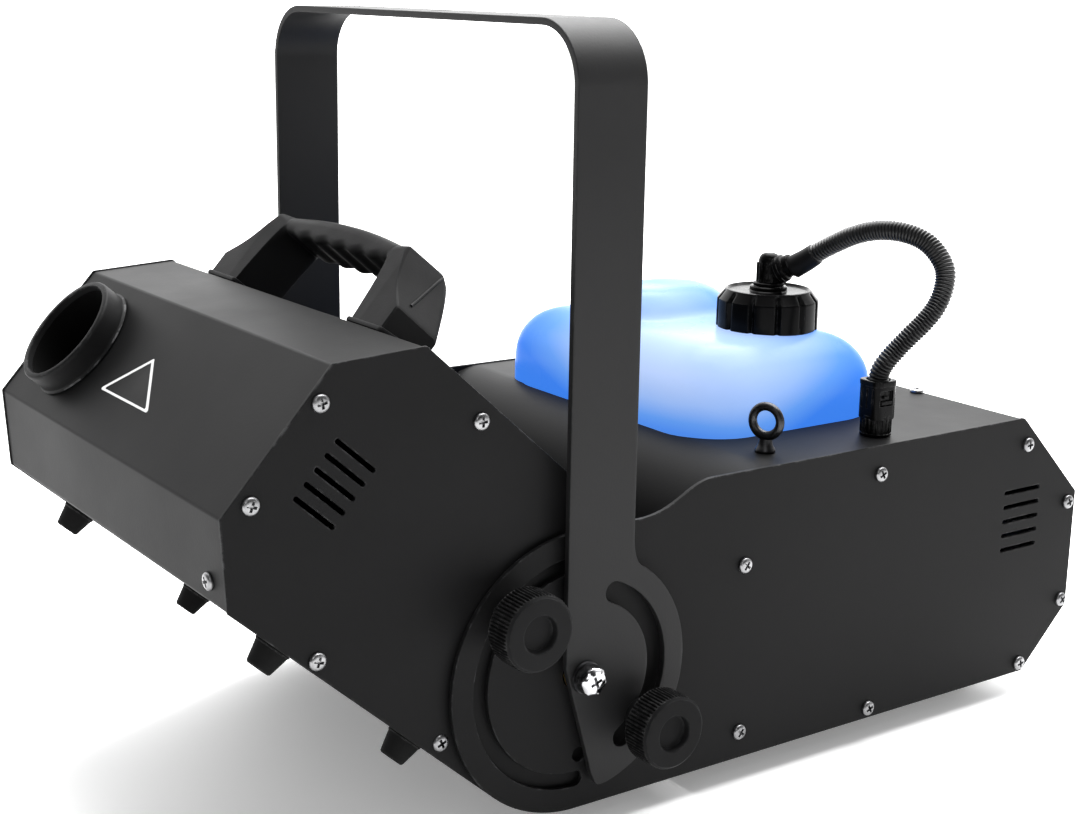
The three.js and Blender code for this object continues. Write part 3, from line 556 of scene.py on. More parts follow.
COAT = coated("powder_coat", (0.0068, 0.0068, 0.007), (0.0092, 0.0092, 0.0095))
YOKE_COAT = coated("powder_coat_yoke", (0.0098, 0.0098, 0.0101), (0.013, 0.013, 0.0134), wear=0.35,
                   wear_color=(0.08, 0.08, 0.082), shine=0.16)
PLASTIC = moulded("black_plastic", (0.004, 0.004, 0.0043), (0.0065, 0.0065, 0.0068))
GRIP = moulded("grip_plastic", (0.005, 0.005, 0.0054), (0.008, 0.008, 0.0084), rough=(0.5, 0.62),
               grain=1200.0, depth=0.00006)
KNOB = moulded("knob_plastic", (0.005, 0.005, 0.0053), (0.008, 0.008, 0.0083), rough=(0.5, 0.62),
               grain=1500.0, shine=0.06)
GLOSS = moulded("gloss_black", (0.0015, 0.0015, 0.0016), (0.003, 0.003, 0.0032), rough=(0.16, 0.28),
                shine=0.05)
RUBBER = moulded("rubber", (0.006, 0.006, 0.006), (0.011, 0.011, 0.011), rough=(0.7, 0.85), grain=900.0,
                 depth=0.00008, scuffs=0.5)
# painted shade: the nozzle bore is given a near-black colour, darker than the part's own, so the deep bore
# reads as black shade
BORE_PAINTED_SHADE = moulded("bore_painted_shade", (0.001, 0.001, 0.001), (0.002, 0.002, 0.002), rough=(0.8, 0.95), scuffs=0.0,
               shine=0.05)
ZINC = metal("zinc_plate", (0.19, 0.19, 0.195), (0.3, 0.3, 0.305), rough=(0.25, 0.4))
CHROME = metal("bright_plate", (0.5, 0.5, 0.51), (0.62, 0.62, 0.63), rough=(0.08, 0.16))
BLACKED = metal("blacked_steel", (0.035, 0.035, 0.037), (0.07, 0.07, 0.073), rough=(0.3, 0.45))
BRASS = metal("brass", (0.45, 0.31, 0.12), (0.6, 0.43, 0.18))
ALUMINIUM = metal("aluminium", (0.17, 0.175, 0.18), (0.23, 0.235, 0.24), rough=(0.32, 0.48))
STEEL = metal("steel", (0.12, 0.125, 0.13), (0.2, 0.205, 0.21), rough=(0.35, 0.5))
WHITE_INK = moulded("white_ink", (0.6, 0.6, 0.6), (0.72, 0.72, 0.72), rough=(0.4, 0.5), scuffs=0.0)
# the tank's material paints its glow, and the shade at its rim and foot, as emission
TANK_PAINTED_GLOW = tank_with_painted_glow("tank_plastic")
HOSE = ribbed_hose("hose_black")
BOARD = circuit("circuit_board")
SCREEN = dark_screen("screen")


# ---------------------------------------------------------------- the hose
HOSE_DIAMETER = 9.6
HOSE_ROUTE = [
    (40.2, 182.7, 201.7), (46.5, 185.5, 206), (53, 188, 211), (60, 191, 215.5), (68.5, 194, 220),
    (77, 198, 223), (86, 201.5, 224), (94.5, 205, 223), (102, 208, 220), (108.5, 209.5, 214.5),
    (113, 209.5, 208), (114.8, 207, 200), (114.5, 203, 192), (112.5, 197.5, 185), (110, 192, 179),
    (107, 187, 172.5), (105, 183, 167), (103.4, 181.3, 162), (103, 181, 157), (103, 181, 152.5)]


def smooth_route(points, per_span=60):
    """A centripetal Catmull-Rom curve through the points, evenly spaced."""
    pts = [Vector(p) for p in points]
    pts = [2 * pts[0] - pts[1], *pts, 2 * pts[-1] - pts[-2]]
    dense = []
    for a, b, c, d in zip(pts, pts[1:], pts[2:], pts[3:]):
        t = [0.0]
        for p, q in ((a, b), (b, c), (c, d)):
            t.append(t[-1] + max((q - p).length, 1e-6) ** 0.5)
        for k in range(per_span):
            u = t[1] + (t[2] - t[1]) * k / per_span

            def between(p, q, t0, t1):
                return p * ((t1 - u) / (t1 - t0)) + q * ((u - t0) / (t1 - t0))
            ab, bc, cd = between(a, b, t[0], t[1]), between(b, c, t[1], t[2]), between(c, d, t[2], t[3])
            dense.append(between(between(ab, bc, t[0], t[2]), between(bc, cd, t[1], t[3]), t[1], t[2]))
    dense.append(pts[-2])
    return dense


def resample(points, count):
    run = [0.0]
    for a, b in zip(points, points[1:]):
        run.append(run[-1] + (b - a).length)
    out, i = [], 0
    for k in range(count):
        target = run[-1] * k / (count - 1)
        while i < len(run) - 2 and run[i + 1] < target:
            i += 1
        span = run[i + 1] - run[i] or 1.0
        out.append(points[i].lerp(points[i + 1], min(1.0, (target - run[i]) / span)))
    return out, run[-1]


def build_hose():
    ribs, per_rib = 98, 6
    line, length = resample(smooth_route(HOSE_ROUTE), ribs * per_rib + 1)
    crest, valley = HOSE_DIAMETER / 2, HOSE_DIAMETER / 2 - 0.6

    def radius(i):
        wave = 0.5 + 0.5 * math.cos(TAU * i / per_rib)
        return valley + (crest - valley) * wave ** 0.6
    hose = add("corrugated_hose", tube(line, radius, sides=20), BASE, None, HOSE, ["pickup_hose"],
               smooth=50)
    cuff_end = 9 * per_rib
    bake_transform(hose)

    def cuff_radius(i):
        if i < 3:
            return 5.0 + 0.25 * i
        return 5.75 - 0.5 * i / cuff_end if i < cuff_end - 1 else 4.9
    add("hose_cuff", tube(line[:cuff_end + 1], cuff_radius, sides=28), BASE, "tank", PLASTIC)


build_hose()


# ---------------------------------------------------------------- screws
def cross(arm, thin):
    return [(thin, thin), (thin, arm), (-thin, arm), (-thin, thin), (-arm, thin), (-arm, -thin),
            (-thin, -thin), (-thin, -arm), (thin, -arm), (thin, -thin), (arm, -thin), (arm, thin)]


def pan_head(radius=3.55, height=2.0):
    """A pan head with a cross recess, standing on z=0."""
    profile = [(radius - 0.15, 0), (radius, 0.25), (radius, height * 0.45), (radius * 0.93, height * 0.72),
               (radius * 0.76, height * 0.92), (radius * 0.5, height), (0, height)]
    head = lathe([(0, 0), *profile], 28)
    recess, depth = cross(radius * 0.62, radius * 0.17), height * 0.7
    foot = [(x * 0.75, y * 0.75, height - depth) for x, y in recess]
    return carved(head, loft([foot, [(x, y, height + 0.5) for x, y in recess]]))


SCREW = pan_head()
spin = random.Random(7)


def screws(name, spots, facing, place, body, sink=0.0, scale=1.0):
    """One piece holding a screw at each spot. facing turns the screw's +Z to the outward normal."""
    heads = [copied(SCREW, shifted(*spot) @ facing @ shifted(0, 0, -sink)
                    @ Matrix.Rotation(spin.uniform(0, TAU), 4, "Z") @ Matrix.Scale(scale, 4))
             for spot in spots]
    add(name, joined(*heads), place, body, ZINC, smooth=40)


FACE = {1: Matrix.Rotation(math.pi / 2, 4, "Y"), -1: Matrix.Rotation(-math.pi / 2, 4, "Y")}
FACE_UP = Matrix.Identity(4)
FACE_BACK = Matrix.Rotation(-math.pi / 2, 4, "X")
SIDES = (("right", 1), ("left", -1))


def on_side(mesh, side, inner, thickness):
    """Stands a plate drawn in Y, Z on the given side, its inner face at x=inner."""
    return moved(mesh, shifted(x=inner if side > 0 else -inner - thickness) @ TO_SIDE)


# ---------------------------------------------------------------- base
def base_outline():
    top, rear = BASE_HEIGHT, BASE_REAR
    back = [(rear - REAR_LOW_CHAMFER, 0), (rear, REAR_LOW_CHAMFER), (rear, top - REAR_TOP_CHAMFER),
            (rear - REAR_TOP_CHAMFER, top)]
    corner = rounded([(0, 0), *back, (70, top)], [0, 2, 2, 2, 2, 0])[1:-1]
    curve = []
    for i in range(17):
        t = i / 16
        p = [(70, top), (56, top), (50, 2 * CHEEK_R), (30, 2 * CHEEK_R)]
        w = [(1 - t) ** 3, 3 * t * (1 - t) ** 2, 3 * t * t * (1 - t), t ** 3]
        curve.append(tuple(sum(k * q[axis] for k, q in zip(w, p)) for axis in (0, 1)))
    return [*corner, *curve, *arc(0, PIVOT_Z, CHEEK_R, 90, 270, 72)]


VENT_TOP, VENT_PITCH, VENT_COUNT = 96.5, 7.25, 5


def base_side(name, side):
    def pin(radius, angle, r):
        return circle(radius * math.cos(angle), PIVOT_Z + radius * math.sin(angle), r, 24)
    holes = [arc_slot(0, PIVOT_Z, HEAD_SLOT_R, 3.3, 90, 270, 72), pin(0, 0, 7.3),
             pin(YOKE_SLOT_R, YOKE_KNOB_ANGLE, 3.2), pin(YOKE_SLOT_R, SPARE_HOLE_ANGLE, 3.2)]
    for i in range(VENT_COUNT):
        z = VENT_TOP - i * VENT_PITCH
        holes.append(rectangle(255, 280.5, z - 1.05, z + 1.05, 1.0))
    mesh = on_side(plate(base_outline(), holes, PANEL, 0.35), side, HALF_WIDTH - PANEL, PANEL)
    add(f"base_side_{name}", mesh, BASE, "base", COAT, [f"base_side_panel_{name}"])
    spots = [(168.5, 119.5), (88.5, 90.6), (89.3, 12.8), (169.5, 5.3), (275.3, 4.9), (303.6, 33.4),
             (302.4, 85.2), (268.6, 119.4)]
    at = [(side * HALF_WIDTH, y, z) for y, z in spots]
    screws(f"base_side_screws_{name}", at, FACE[side], BASE, "base")


def folded_sheet(line, thickness, half_width):
    """A sheet folded along a line in Y, Z, with the line on its outer face."""
    pts = [Vector(p) for p in line]
    inner = []
    for i, p in enumerate(pts):
        ways = []
        if i > 0:
            ways.append((p - pts[i - 1]).normalized())
        if i < len(pts) - 1:
            ways.append((pts[i + 1] - p).normalized())
        normals = [Vector((w.y, -w.x)) for w in ways]
        total = sum(normals, Vector((0, 0)))
        inner.append(p + total * (thickness / total.dot(normals[0])))
    ring = [*pts, *reversed(inner)]
    return loft([[(x, p.x, p.y) for p in ring] for x in (-half_width, half_width)])


def cover_line():
    top = BASE_HEIGHT - TRIM
    crown_y, crown_z = 105.0, 88.0
    line = [(BASE_FRONT, SHEET + 2 * TRIM)]
    line += [(crown_y + (crown_y - BASE_FRONT) * math.cos(rad(180 - 90 * i / 28)),
              crown_z + (top - crown_z) * math.sin(rad(180 - 90 * i / 28))) for i in range(29)]
    fold = (BASE_REAR - REAR_TOP_CHAMFER - 0.2, top)
    end = (BASE_REAR - 1.0, BASE_HEIGHT - REAR_TOP_CHAMFER + 0.3)
    return line + rounded([line[-1], fold, end], [0, 2.5, 0])[1:]


slope_centre = Vector((0, BASE_REAR - REAR_TOP_CHAMFER / 2 - 0.35, BASE_HEIGHT - REAR_TOP_CHAMFER / 2 - 0.35))
SLOPE = Matrix.Translation(slope_centre) @ Matrix.Rotation(-math.pi / 4, 4, "X")
DISPLAY_X, BUTTON_X0, BUTTON_PITCH = 42.0, -22.0, 19.0
EYEBOLT = (99.0, 116.5)
GLAND = (103.0, 181.0)


def build_cover():
    sheet = folded_sheet(cover_line(), SHEET, INSIDE)
    tank_low, tank_high = (BASE.inverted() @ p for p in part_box("fluid_tank"))
    opening = rectangle(tank_low.x - 2, tank_high.x + 2, tank_low.y - 2, tank_high.y + 2, 28, 10)
    window = block(DISPLAY_X - 36, DISPLAY_X + 36, -17, 17, -8, 8, 0.5)
    cutters = [loft([[(x, y, z) for x, y in opening] for z in (118, 140)]), moved(window, SLOPE)]
    for i in range(4):
        x = BUTTON_X0 - BUTTON_PITCH * i
        cutters.append(moved(block(x - 5.9, x + 5.9, -5.9, 5.9, -8, 8, 0.8), SLOPE))
    mesh = carved(sheet, *cutters)
    add("base_top_cover", mesh, BASE, "base", COAT, ["base_cover"])
    lip = [(x, y, BASE_HEIGHT - TRIM - SHEET - 0.2) for x, y in opening]
    flange = loft([[(x, y, z + dz) for x, y, z in lip] for dz in (0, -10)], caps=False)
    add("tank_opening_flange", solidified(flange, 1.2), BASE, "base", COAT)
    spots = [(side * 52.3, 262.3, BASE_HEIGHT - TRIM) for side in (1, -1)]
    screws("cover_screws", spots, FACE_UP, BASE, "base")


def build_eyebolt():
    x, y = EYEBOLT
    seat = BASE_HEIGHT - TRIM + 0.1
    ring_z, ring_r, bar = 146.6, 6.7, 1.95
    rings = []
    for step in range(48):
        p = Vector((ring_r * math.cos(TAU * step / 48), 0, ring_r * math.sin(TAU * step / 48)))
        out = p.normalized()
        thick = bar * (1.0 + 0.12 * max(0.0, -out.z))
        rings.append([p + thick * (math.cos(TAU * k / 16) * out + math.sin(TAU * k / 16) * Vector((0, 1, 0)))
                      for k in range(16)])
    ring = moved(loft(rings, closed=True), shifted(x, y, ring_z) @ Matrix.Rotation(rad(22), 4, "Z"))
    collar = lathe([(0, 0), (4.5, 0), (4.7, 0.4), (4.6, 1.2), (4.0, 2.2), (3.4, 3.4), (3.1, 4.8), (2.9, 6.0),
                    (0, 6.4)], 32)
    shank = lathe([(0, -13.5), (2.5, -13.5), (2.9, -13), (2.9, 0.2), (0, 0.2)], 20)
    stem = moved(joined(collar, shank), shifted(x, y, seat))
    add("eyebolt_ring", joined(ring, stem), BASE, "base", BLACKED,
        ["eyebolt"], smooth=45)


def build_gland():
    """A clip-together hose gland: a round foot, a square body with a latch window, and a collar."""
    x, y = GLAND
    seat = BASE_HEIGHT - TRIM + 0.3
    top = 159.0
    below = lathe([(0, seat - 13), (5.7, seat - 13), (5.7, seat + 0.4), (0, seat + 0.4)], 24)
    foot = lathe([(0, seat), (7.1, seat), (7.3, seat + 0.3), (7.3, seat + 1.2), (6.9, seat + 1.5),
                  (6.9, seat + 9.6), (0, seat + 9.6)], 40)
    body = moved(plate(rectangle(x - 6.7, x + 6.7, y - 6.7, y + 6.7, 3.4), (), top - 1.8 - seat - 7.8, 0.6),
                 shifted(z=seat + 7.8))
    collar = moved(plate(rectangle(x - 7.0, x + 7.0, y - 7.0, y + 7.0, 3.8), [circle(x, y, 5.5)], 2.6, 0.5),
                   shifted(z=top - 2.6))
    bore = lathe([(0, top - 7.4), (5.5, top - 7.4), (5.5, top + 1), (0, top + 1)], 32)
    liner = lathe([(5.0, top - 7.2), (5.6, top - 7.2), (5.6, top - 0.8), (5.0, top - 0.8)], 32, closed=True)
    window = block(x + 5.4, x + 9, y - 4.6, y + 3.4, top - 11.6, top - 4.4, 0.4)
    front_slots = [block(x + dx - 0.5, x + dx + 0.5, y - 9, y - 6.3, top - 13, top - 3.6, 0.2)
                   for dx in (-3.4, 0, 3.4)]
    latch = joined(block(x + 5.5, x + 6.8, y - 3.9, y + 2.7, top - 10.9, top - 9.3, 0.3),
                   block(x + 5.5, x + 6.5, y - 2.2, y + 1.0, top - 8.2, top - 6.8, 0.3))
    ribs = [moved(block(-0.45, 0.45, -7.3, -6.6, seat + 1.4, seat + 8.4, 0.2, 1), shifted(x, y) @
                  Matrix.Rotation(TAU * k / 20, 4, "Z")) for k in range(20)]
    shell = carved(body, window, *front_slots, copied(bore, shifted(x, y, 0)))
    parts = joined(shell, collar, latch, *ribs, copied(joined(foot, below, liner), shifted(x, y, 0)))
    add("hose_gland_clip", parts, BASE, "base", GLOSS, ["hose_gland"], smooth=35)


def build_feet():
    foot = lathe([(0, -12), (7.4, -12), (8.3, -11.4), (8.5, -10.6), (9.9, -0.6), (9.7, 0), (0, 0)], 40)
    dish = lathe([(0, -9.4), (3.6, -9.4), (4.2, -12.4), (0, -12.4)], 28)
    screw = copied(SCREW, shifted(0, 0, -9.5) @ Matrix.Rotation(math.pi, 4, "X") @ Matrix.Scale(0.85, 4))
    rubber = carved(foot, dish)
    for i, (x, y) in enumerate(((88, 80), (-88, 80), (88, 262), (-88, 262))):
        add(f"base_rubber_foot_{i + 1}", copied(rubber, shifted(x, y, 0)), BASE, "base", RUBBER,
            [f"base_foot_{i + 1}"])
        add(f"base_foot_screw_{i + 1}", copied(screw, shifted(x, y, 0)), BASE, "base", ZINC)


def build_base():
    for name, side in SIDES:
        base_side(name, side)
    build_cover()
    build_eyebolt()
    build_gland()
    build_feet()


# ---------------------------------------------------------------- the back of the base
REAR_Y = BASE_REAR - TRIM
REAR_Z = 60.0
ON_REAR = shifted(0, REAR_Y, REAR_Z) @ Matrix.Rotation(math.pi, 4, "Z") @ Matrix.Rotation(math.pi / 2, 4, "X")
# on the rear face +y is up and +z comes out of it; rear() takes x as in the frame


def rear(name, mesh, x, material, replaces=(), slot="black_plastic", body="base", smooth=35):
    return add(name, mesh, BASE @ ON_REAR @ shifted(-x, 0, 0), body, material, replaces, smooth)


SOCKET_FLANGE = 2.7


def socket_plate(half_x, half_y, hole, corner):
    """The flange of a part mounted in the rear panel, a little clear of it."""
    outline = rectangle(-half_x, half_x, -half_y, half_y, corner)
    return moved(plate(outline, [hole], SOCKET_FLANGE - 0.3, 0.4), shifted(z=0.3))


def flange_screws(name, spots, x, scale):
    heads = [copied(SCREW, shifted(*spot, 2.5) @ Matrix.Scale(scale, 4)) for spot in spots]
    rear(name, joined(*heads), x, ZINC, slot="zinc_steel")


def build_rear():
    holes = [rectangle(84 - 14.8, 84 + 14.8, -11.3, 11.3, 1), rectangle(13, 27, -10.8, 10.8, 0.5),
             circle(46, 0, 6.8), circle(-18, 0, 12.3, 40), circle(-54, 0, 12.3, 40), circle(-90, 0, 9.3)]
    low, high = REAR_LOW_CHAMFER + 1.3 - REAR_Z, BASE_HEIGHT - REAR_TOP_CHAMFER - 1.4 - REAR_Z
    panel = plate(rectangle(-INSIDE, INSIDE, low, high, 0.5), holes, SHEET, 0.25)
    rear("rear_plate", moved(panel, shifted(z=-SHEET)), 0, COAT, ["base_rear_panel"], "powder_coat")
    build_inlet()
    build_switch()
    build_fuse()
    build_control_sockets()
    spots = [(side * x, REAR_Y, REAR_Z + z) for side in (1, -1) for x, z in ((112, 24), (112, -24), (36, 24))]
    screws("rear_plate_screws", spots, FACE_BACK, BASE, "base", scale=0.85)


def build_inlet():
    mouth = rounded([(-11.9, -8), (11.9, -8), (11.9, 3.5), (7.6, 8), (-7.6, 8), (-11.9, 3.5)], 1.2)
    wall = [(x * 1.09, y * 1.13) for x, y in mouth]
    face = socket_plate(23.6, 12.8, mouth, 3)
    tunnel = loft([[(x, y, 1) for x, y in mouth], [(x, y, -13) for x, y in mouth],
                   [(x, y, -14.5) for x, y in wall], [(x, y, 1) for x, y in wall]], closed=True)
    floor = moved(plate(wall, (), 1.4, 0.2), shifted(z=-14.6))
    rear("inlet_body", joined(face, tunnel, floor), -84, PLASTIC, ["power_inlet"])
    pins = [block(x - 1, x + 1, y - 2.2, y + 2.2, -13.4, -2.5, 0.35)
            for x, y in ((-6.5, -1.5), (6.5, -1.5), (0, 2.2))]
    rear("inlet_pins", joined(*pins), -84, CHROME, slot="zinc_steel")
    flange_screws("inlet_screws", [(-18.6, 0), (18.6, 0)], -84, 0.75)


def build_switch():
    bezel = socket_plate(9, 12.5, rectangle(-5.6, 5.6, -9.2, 9.2, 0.6), 1)
    ring = loft([[(x * k, y * m, z) for x, y in rectangle(-1, 1, -1, 1, 0.05)] for k, m, z in
                 ((5.6, 9.2, 1), (5.6, 9.2, -13.6), (6.9, 10.4, -13.6), (6.9, 10.4, 1))], closed=True)
    rear("switch_bezel", joined(bezel, ring), -20, PLASTIC, ["switch_frame"])
    axis = -2.0
    side_view = rounded([(-3.9, axis - 4.9), (3.9, axis - 4.9), (7.1, axis + 5.3), (0, axis + 3.1),
                         (-7.1, axis + 2.1)], [0.5, 0.5, 0.7, 3, 0.7])
    paddle = moved(plate(side_view, (), 9.9, 0.5), shifted(x=-4.95) @ TO_SIDE)
    rear("switch_rocker", paddle, -20, GLOSS, ["power_rocker"], "black_plastic", "rocker")


def build_fuse():
    collar = lathe([(4.7, 0.3), (8.3, 0.3), (8.3, 1.9), (7.6, 2.6), (5.4, 2.6), (4.7, 2.0)], 40, closed=True)
    barrel = lathe([(4.7, 1), (6.4, 1), (6.4, -23), (4.7, -23)], 32, closed=True)
    rear("fuse_body", joined(collar, barrel), -46, PLASTIC, ["fuse_holder"])
    cap = lathe([(0, -12), (4.1, -12), (4.1, 3.2), (3.7, 4.2), (0, 4.2)], 48,
                wave=lambda a, i: 1 + (0.03 * math.cos(24 * a) if i == 2 else 0))
    slot = block(-3.2, 3.2, -0.55, 0.55, 3.2, 5, 0.1, 1)
    rear("fuse_knob_cap", carved(cap, slot), -46, GLOSS, ["fuse_cap"], "black_plastic", "fuse_knob")


def build_control_sockets():
    mouth = circle(0, 0, 10.3, 56)
    shell = [(10.3, 1), (11.8, 1), (11.8, -13), (0, -13), (0, -9), (10.3, -9)]
    for name, x, male in (("in", 18, True), ("out", 54, False)):
        face = socket_plate(13.4, 15.4, mouth, 2)
        well = lathe(shell, 48, closed=True)
        rear(f"control_{name}_shell", joined(face, well), x, PLASTIC, [f"dmx_{name}_socket"])
        spots = [(5.2 * math.sin(TAU * k / 3), 5.2 * math.cos(TAU * k / 3)) for k in range(3)]
        if male:
            pin = lathe([(0, -9.2), (1.2, -9.2), (1.2, -1.6), (0.8, -0.9), (0, -0.9)], 16)
            pins = [copied(pin, shifted(px, py, 0)) for px, py in spots]
            rear("control_in_pins", joined(*pins), x, CHROME, slot="zinc_steel")
        else:
            hole = lathe([(0, -6), (1.5, -6), (1.5, 3), (0, 3)], 16)
            holes = [copied(hole, shifted(px, py, 0)) for px, py in spots]
            core = carved(lathe([(0, -9.1), (8.6, -9.1), (8.6, 0.8), (8.1, 1.3), (0, 1.3)], 48), *holes)
            rear("control_out_core", core, x, PLASTIC)
            latch = block(-3.4, 3.4, 10.9, 14.6, 2.6, 3.0, 0.2)
            rear("control_out_latch", latch, x, ZINC, slot="zinc_steel")
        flange_screws(f"control_{name}_screws", [(10.6, -12.6), (-10.6, 12.6)], x, 0.55)
    nut = lathe([(7.2, 0.4), (10.2, 0.4), (10.2, 2.2), (9.4, 2.9), (7.7, 2.9), (7.2, 2.4)], 48, closed=True,
                wave=lambda a, i: 1 + (0.012 * math.cos(36 * a) if i in (1, 2) else 0))
    well = lathe([(7.2, 1), (8.8, 1), (8.8, -11), (0, -11), (0, -7), (7.2, -7)], 40, closed=True)
    rear("remote_shell", joined(nut, well), 90, ZINC, ["remote_socket"], "zinc_steel")
    pins = [moved(lathe([(0, -7.2), (0.7, -7.2), (0.7, -2), (0, -1.8)], 12),
                  shifted(4 * math.cos(TAU * k / 5), 4 * math.sin(TAU * k / 5), 0)) for k in range(5)]
    rear("remote_pins", joined(*pins), 90, CHROME, slot="zinc_steel")


def build_controls():
    """The display and the menu buttons on the sloping face."""
    place = BASE @ SLOPE
    frame_outer = rectangle(DISPLAY_X - 38.8, DISPLAY_X + 38.8, -19.8, 19.8, 3)
    frame_inner = rectangle(DISPLAY_X - 28, DISPLAY_X + 28, -11, 11, 1)
    bezel = moved(plate(frame_outer, [frame_inner], 1.9, 0.5), shifted(z=0.3))
    skirt_outer = rectangle(DISPLAY_X - 35.6, DISPLAY_X + 35.6, -16.6, 16.6, 1)
    skirt = moved(plate(skirt_outer, [frame_inner], 4.5, 0.2), shifted(z=-4.0))
    add("display_frame", joined(bezel, skirt), place, "base", PLASTIC, ["display_bezel"])
    glass = block(DISPLAY_X - 27.7, DISPLAY_X + 27.7, -10.7, 10.7, -3.5, 1.2, 0.4)
    add("display_glass", glass, place, "base", SCREEN, ["display_window"])
    for i in range(4):
        x = BUTTON_X0 - BUTTON_PITCH * i
        cap = block(x - 5.4, x + 5.4, -5.4, 5.4, -3.5, 2.2, 0.9, 4)
        dish = lathe([(0, 1.75), (2.6, 2.0), (3.4, 2.6), (0, 2.7)], 32)
        add(f"menu_key_{i + 1}", carved(cap, moved(dish, shifted(x=x))), place, f"button_{i + 1}", PLASTIC,
            [f"menu_button_{i + 1}"])


# ---------------------------------------------------------------- head
def head_outline(margin, bend):
    half = HEAD_HALF - margin
    front = -(HEAD_FRONT - margin)
    mitre = margin * (math.sqrt(2) - 1)
    corners = [(-(HEAD_FRONT - HEAD_TOP_CHAMFER - mitre), half),
               (front, HEAD_HALF - HEAD_TOP_CHAMFER - mitre),
               (front, -(HEAD_HALF - HEAD_LOW_CHAMFER - mitre)),
               (-(HEAD_FRONT - HEAD_LOW_CHAMFER - mitre), -half)]
    flat = rounded([(0, half), *corners, (0, -half)], [0, bend, bend, bend, bend, 0])[1:-1]
    return [*arc(0, 0, half, -90, 90, 40), *flat]


def build_head_shell():
    end = HEAD_HALF_WIDTH - HEAD_PANEL - 0.3
    outer, inner = head_outline(TRIM, 2.4), head_outline(TRIM + SHEET, 1.0)
    rings = [[(x, y, z) for y, z in loop] for x, loop in
             ((-end, outer), (end, outer), (end, inner), (-end, inner))]
    hole = moved(lathe([(0, 0), (24, 0), (24, 12), (0, 12)], 64), nozzle_frame() @ shifted(z=-6))
    shell = carved(loft(rings, closed=True), hole)
    add("head_folded_shell", shell, HEAD, "head", COAT, ["head_shell"])


def nozzle_frame():
    """Origin in the middle of the nozzle's seat on the front face, +Z out of the head."""
    return shifted(NOZZLE_X, -HEAD_FRONT, 0) @ Matrix.Rotation(math.pi / 2, 4, "X")


def build_head_sides():
    spots = [(169.5, 18.9), (108, 52.6), (168.2, -25.1), (106.8, -55.9)]
    for name, side in SIDES:
        holes = [circle(0, 0, 4.3, 24), circle(-HEAD_SLOT_R, 0, 3.2, 20)]
        for i in range(5):
            z = 12.2 - i * 6.4
            holes.append(rectangle(-155.5, -134, z - 1, z + 1, 0.95))
        mesh = plate(head_outline(0, 1.6), holes, HEAD_PANEL, 0.3)
        panel = on_side(mesh, side, HEAD_HALF_WIDTH - HEAD_PANEL, HEAD_PANEL)
        add(f"head_side_{name}", panel, HEAD, "head", COAT, [f"head_side_panel_{name}"])
        at = side * HEAD_HALF_WIDTH
        screws(f"head_side_screws_{name}", [(at, -u, v) for u, v in spots], FACE[side], HEAD, "head",
               sink=0.2)
        screws(f"head_low_screw_{name}", [(at, -36.2, -54.6)], FACE[side], HEAD, "head", sink=0.9)
    fold = Vector((0, -(HEAD_FRONT - HEAD_LOW_CHAMFER / 2) + 0.3, -HEAD_HALF + HEAD_LOW_CHAMFER / 2 + 0.3))
    down = Matrix.Rotation(rad(135), 4, "X")
    screws("head_chin_screw", [fold + Vector((102, 6.6, -6.6))], down, HEAD, "head", sink=0.2)


def build_nozzle():
    reach = 11.0
    seat = HEAD @ nozzle_frame()
    collar = lathe([(23.4, -22), (21.4, -21.6), (23.0, reach - 0.6), (23.5, reach), (25.2, reach),
                    (25.8, reach - 0.7), (26, reach - 1.6), (26, 1.6), (26.3, 0.8), (26.9, 0.35),
                    (26.9, 0.25), (23.7, 0.25)], 96, closed=True)
    add("nozzle_rim", collar, seat, "head", COAT, ["nozzle_collar"], smooth=50)
    liner = lathe([(22.6, reach - 3), (22.9, reach - 3), (21.35, -21.5), (21.0, -21.5)], 96, closed=True)
    throat = lathe([(0, -30.5), (22.4, -30.5), (22.4, -22.2), (22.0, -22.2), (21.6, -29.6), (0, -29.6)], 64)
    guard = [moved(block(-21.5, 21.5, -0.6, 0.6, -21.6, -20.6, 0.2, 1), Matrix.Rotation(rad(a), 4, "Z"))
             for a in (0, 60, 120)]
    # painted shade: the bore's lining, the disc closing it and the guard are near-black so the deep bore
    # reads as shade
    add("nozzle_throat", joined(liner, throat, *guard), seat, "head", BORE_PAINTED_SHADE)
    tip = lathe([(0, -29.4), (8.8, -29.4), (8.8, -26.2), (8.2, -25.4), (5, -24.4), (3.9, -13.2), (3.2, -12.2),
                 (1.2, -12.2), (1.0, -14), (0, -14)], 40)
    add("jet_tip", tip, seat, "head", BRASS, ["nozzle_tip"])


def build_notice():
    """A plain triangular sticker beside the nozzle: a white border and nothing else."""
    corners = [(-6.5, 7.3), (-32, -14), (19, -14)]
    middle = Vector((sum(c[0] for c in corners) / 3, sum(c[1] for c in corners) / 3))
    inner = [tuple(middle + (Vector(c) - middle) * 0.86) for c in corners]
    core = [tuple(middle + (Vector(c) - middle) * 0.855) for c in corners]
    place = HEAD @ shifted(y=-HEAD_FRONT + TRIM) @ TO_FRONT
    border = plate(rounded(corners, 0.8), [rounded(inner, 0.5)], 0.14, 0.04)
    add("notice_border", border, place, "head", WHITE_INK)
    field = plate(rounded(core, 0.5), (), 0.12, 0.03)
    add("notice_field", field, place, "head", PLASTIC)


HANDLE_SEAT = HEAD_HALF + 0.3
HANDLE_FRONT, HANDLE_BACK = -145.0, -120.0
SHOULDER_X, SHOULDER_Z, CROWN_Z = 56.0, 100.5, 105.0
FOOT_IN, FOOT_OUT, FOOT_TOP = 53.5, 78.0, 73.0
GRIP_X, GRIP_Z = 47.0, 91.8


